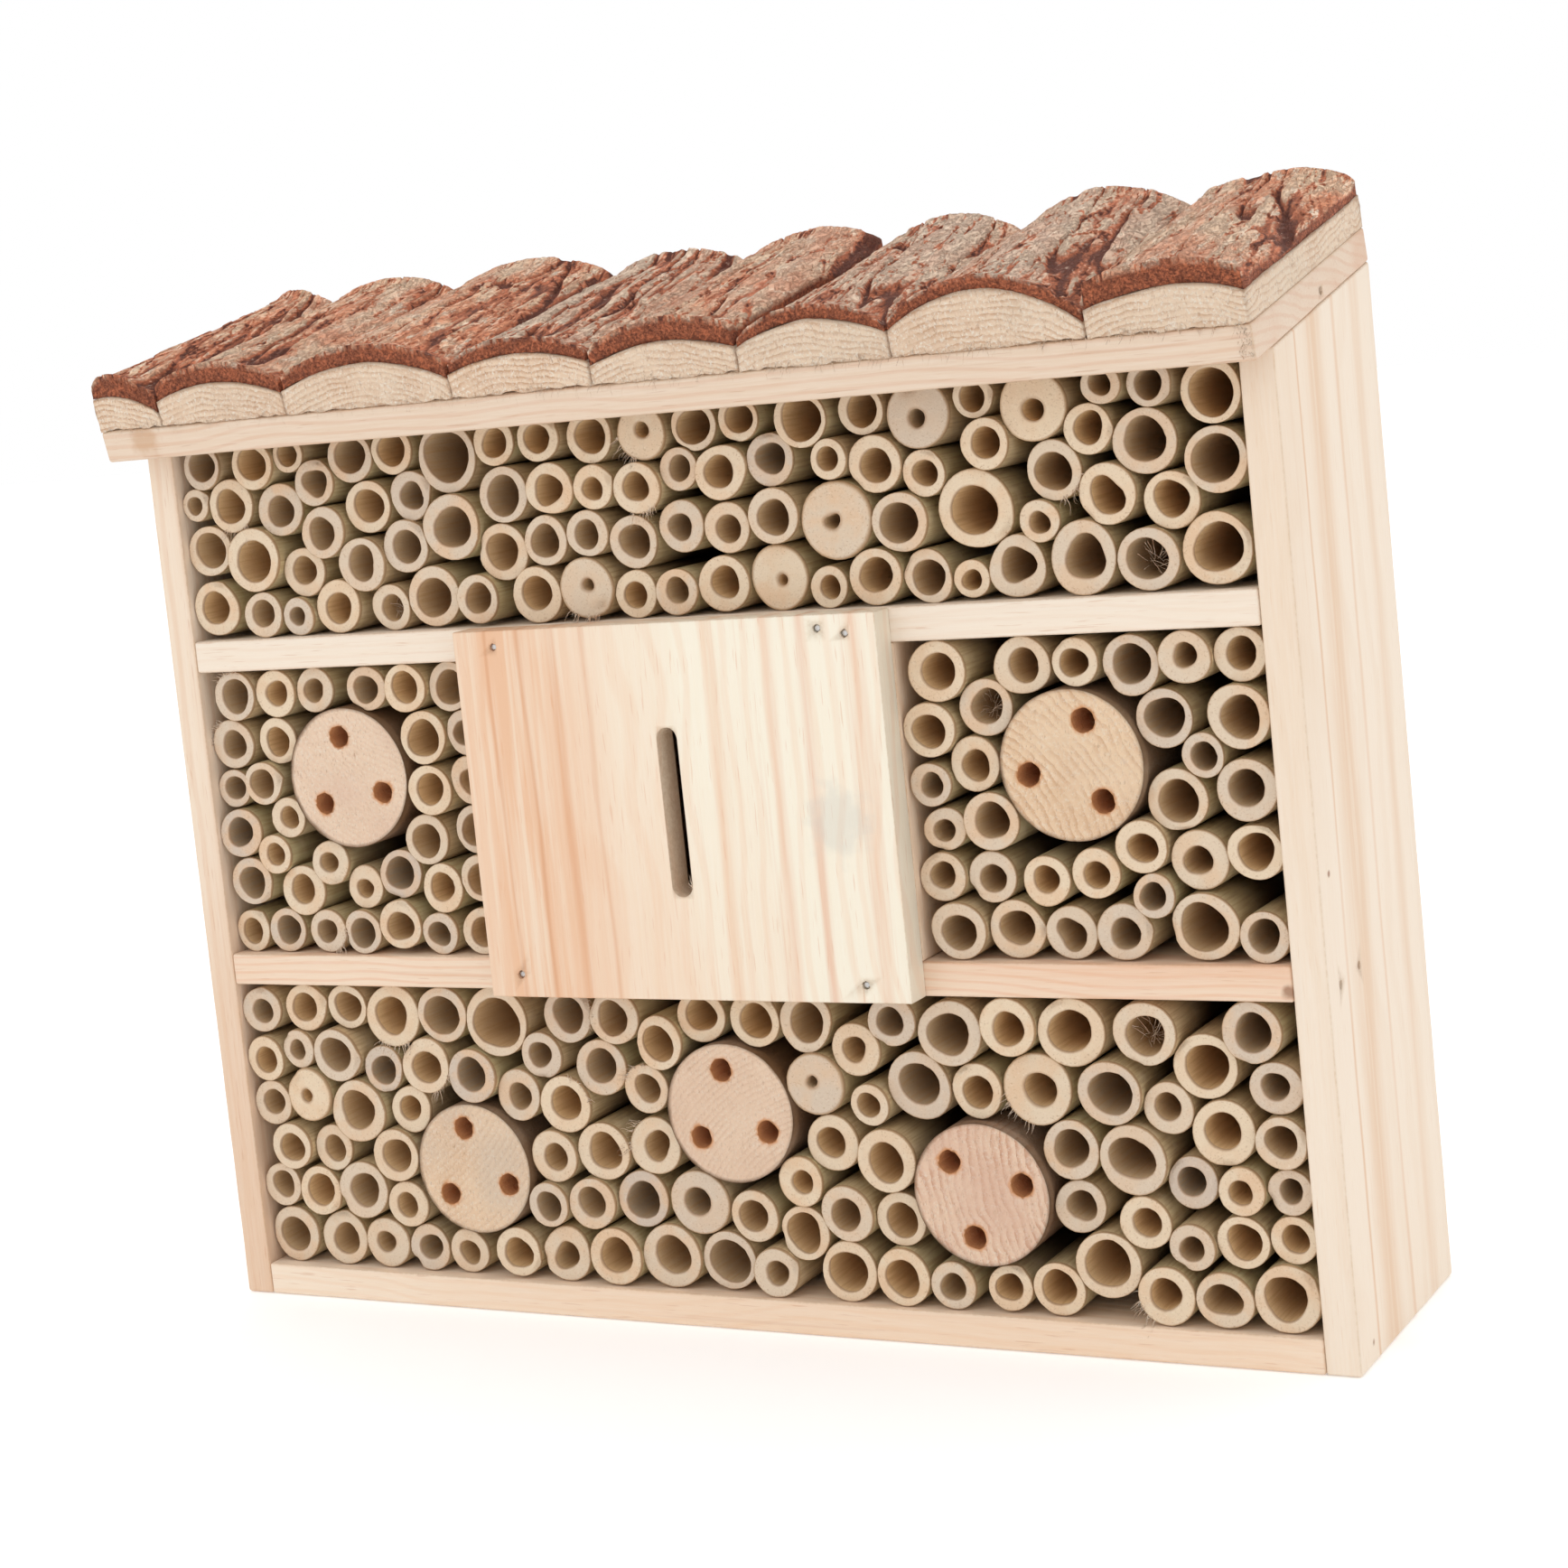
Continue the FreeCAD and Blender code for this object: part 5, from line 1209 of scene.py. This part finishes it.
def makeFibres():
    # hairs of the sawn slabs, of the roof board's corner, of frayed canes, and at the slot's foot
    edge, corner = fibreLook["slabEdge"], fibreLook["corner"]
    k = np.arange(edge + corner)
    rnd = [hashed(k, k * 3 + s, k * 0, 900 + s) for s in range(6)]
    atCorner = k >= edge
    anywhere = roofLow[0] + 0.002 + (roofHigh[0] - roofLow[0] - 0.004) * rnd[0]
    x = np.where(atCorner, roofHigh[0] - 0.0040 * rnd[0] ** 2, anywhere)
    above = np.where(atCorner, roofThick * (0.15 + 0.85 * rnd[1]),
                     roofThick + 0.0002 + 0.0016 * rnd[1] ** 2)
    start = roofPoint(x, x * 0 - 0.00005, above)
    long = fibreLook["long"] * (0.25 + 0.75 * rnd[2] ** 2) * np.where(atCorner, 0.5, 1.0)
    way = np.stack([(rnd[3] - 0.5) * 1.2, -0.30 - 0.25 * rnd[4], -0.25 + 0.3 * (rnd[5] - 0.5)], -1)
    way = way * long[:, None]
    makeStrands("torn_slab_fibres", start, way, long * 0.6, fibreLook["thick"], 900)
    starts, ways = [], []
    canes = [points for name in sorted(nodes) if name.startswith("canes") for points in islandsOf(name)]
    middles = np.array([(points.min(0) + points.max(0)) / 2 for points in canes])
    fronts = np.array([points[:, 1].min() for points in canes])
    radii = np.array([(points.max(0) - points.min(0))[0] / 2 for points in canes])
    k = np.arange(len(canes))
    order = np.argsort(hashed(k, k * 5, k * 0, 31))
    per = fibreLook["perTuft"]
    h = np.arange(per)
    for number in order[:fibreLook["tufted"]]:
        a, b, c = (hashed(h + 40 * number, h * 3, h * 0 + s, 12) for s in range(3))
        angle = 6.28 * hashed(np.array([number]), np.array([1]), np.array([2]), 8)[0] + 1.3 * (a - 0.5)
        out = np.stack([np.cos(angle), a * 0, np.sin(angle)], -1)
        starts.append(np.array([middles[number][0], fronts[number] + 0.0003, middles[number][2]])
                      + out * (radii[number] * (0.90 + 0.09 * b))[:, None])
        ways.append((out * (0.4 + c)[:, None] + np.array([0, -0.7, -0.25]))
                    * (0.0009 + 0.0014 * b)[:, None])
    # torn pith stands across the bores of a few
    for across, up in fibreLook["torn"]:
        number = np.argmin(np.hypot(middles[:, 0] - across, middles[:, 2] - up))
        a, b, c = (hashed(h + 90 * number, h * 3, h * 0 + s, 13) for s in range(3))
        out = np.stack([np.cos(6.28 * a), a * 0, np.sin(6.28 * a)], -1)
        starts.append(np.array([middles[number][0], fronts[number] + 0.0035, middles[number][2]])
                      + out * radii[number] * 0.55 + np.array([0, 1, 0]) * (0.005 * b)[:, None])
        ways.append((-out * 0.9 + np.array([0, -0.25, -0.1])) * (0.002 + 0.0035 * c)[:, None])
    # a splinter curls out of the slot's foot
    h = np.arange(9)
    a, b, c = (hashed(h, h * 3, h * 0 + s, 14) for s in range(3))
    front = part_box("chamber_front")[0][1]
    starts.append(np.stack([slotX + slotHalf * (0.95 - 0.1 * a), front + 0.0006 * b,
                            slotDown - slotHalf * 0.3 + 0.0012 * c], -1))
    ways.append(np.stack([0.0006 * (b - 0.8), -0.0006 - 0.0008 * a, 0.0028 * (0.3 + c)], -1))
    start, way = np.concatenate(starts), np.concatenate(ways)
    makeStrands("torn_cane_fibres", start, way, np.linalg.norm(way, axis=1) * 0.2,
                fibreLook["thick"] * 1.3, 950)


makeFibres()

# floor, light and camera

stageLook = {
    "floor": (254, 254, 254), "floorHalf": 6.0,
    "glow": 0.21,            # what the floor gives out of itself
    "world": 1.0,            # strength of the white surroundings
    "key": 1.5, "fill": 0.4, "side": 0.4,    # watts of the three lamps
}
cameraLook = {
    "place": (0.3588, -0.6418, 0.2364),
    "heading": 29.0, "tilt": -5.66, "roll": -5.91,    # degrees
    "lens": 70.0, "shift": (0.0151, -0.0994),
}


def makeStage():
    material, tree, tools, shader, bumper, _ = newFinish("paleFloor", None, 0.9, 0.02, 0.0005)
    add, maths, vector, mix, noise, between = tools
    place = add("ShaderNodeTexCoord").outputs["Object"]
    cloud = noise(place, 6.0, 2.0)
    paleness = mix(cloud, colour(*stageLook["floor"]), colour(251, 251, 252))
    tree.links.new(paleness, shader.inputs["Base Color"])
    shader.inputs["Emission Color"].default_value = (1.0, 1.0, 1.0, 1.0)
    shader.inputs["Emission Strength"].default_value = stageLook["glow"]
    tree.links.new(cloud, bumper.inputs["Height"])
    mesh = bpy.data.meshes.new("floor")
    half = stageLook["floorHalf"]
    mesh.from_pydata([(-half, -half, 0), (half, -half, 0), (half, half, 0), (-half, half, 0)], [],
                     [(0, 1, 2, 3)])
    mesh.materials.append(material)
    floor = linked("floor", mesh)
    floor.location.z = cadBox[0][2] - 0.0002
    world = bpy.data.worlds.new("studio")
    world.use_nodes = True
    world.node_tree.nodes["Background"].inputs[0].default_value = (1.0, 1.0, 1.0, 1)
    world.node_tree.nodes["Background"].inputs[1].default_value = stageLook["world"]
    bpy.context.scene.world = world
    aim = Vector((0, 0, 0.12))
    for name, place, size, power in (
            ("keyLight", (-0.55, -1.15, 1.05), 0.9, stageLook["key"]),
            ("fillLight", (1.3, -0.9, 0.6), 1.2, stageLook["fill"]),
            ("sideLight", (1.2, 0.6, 0.9), 0.8, stageLook["side"])):
        lamp = bpy.data.lights.new(name, "AREA")
        lamp.shape = "DISK"
        lamp.size = size
        lamp.energy = power
        light = linked(name, lamp)
        light.location = place
        light.rotation_euler = (aim - Vector(place)).to_track_quat("-Z", "Y").to_euler()


def makeCamera():
    # the eye stands to the right of the front and a little above it
    data = bpy.data.cameras.new("camera")
    data.sensor_width = 36.0
    data.lens = cameraLook["lens"]
    data.shift_x, data.shift_y = cameraLook["shift"]
    data.clip_start = 0.01
    camera = linked("camera", data)
    camera.matrix_world = (
        Matrix.Translation(cameraLook["place"])
        @ Matrix.Rotation(math.radians(cameraLook["heading"]), 4, "Z")
        @ Matrix.Rotation(math.radians(90 + cameraLook["tilt"]), 4, "X")
        @ Matrix.Rotation(math.radians(cameraLook["roll"]), 4, "Z"))
    bpy.context.scene.camera = camera


makeStage()
makeCamera()
bpy.context.scene.view_settings.view_transform = "Standard"
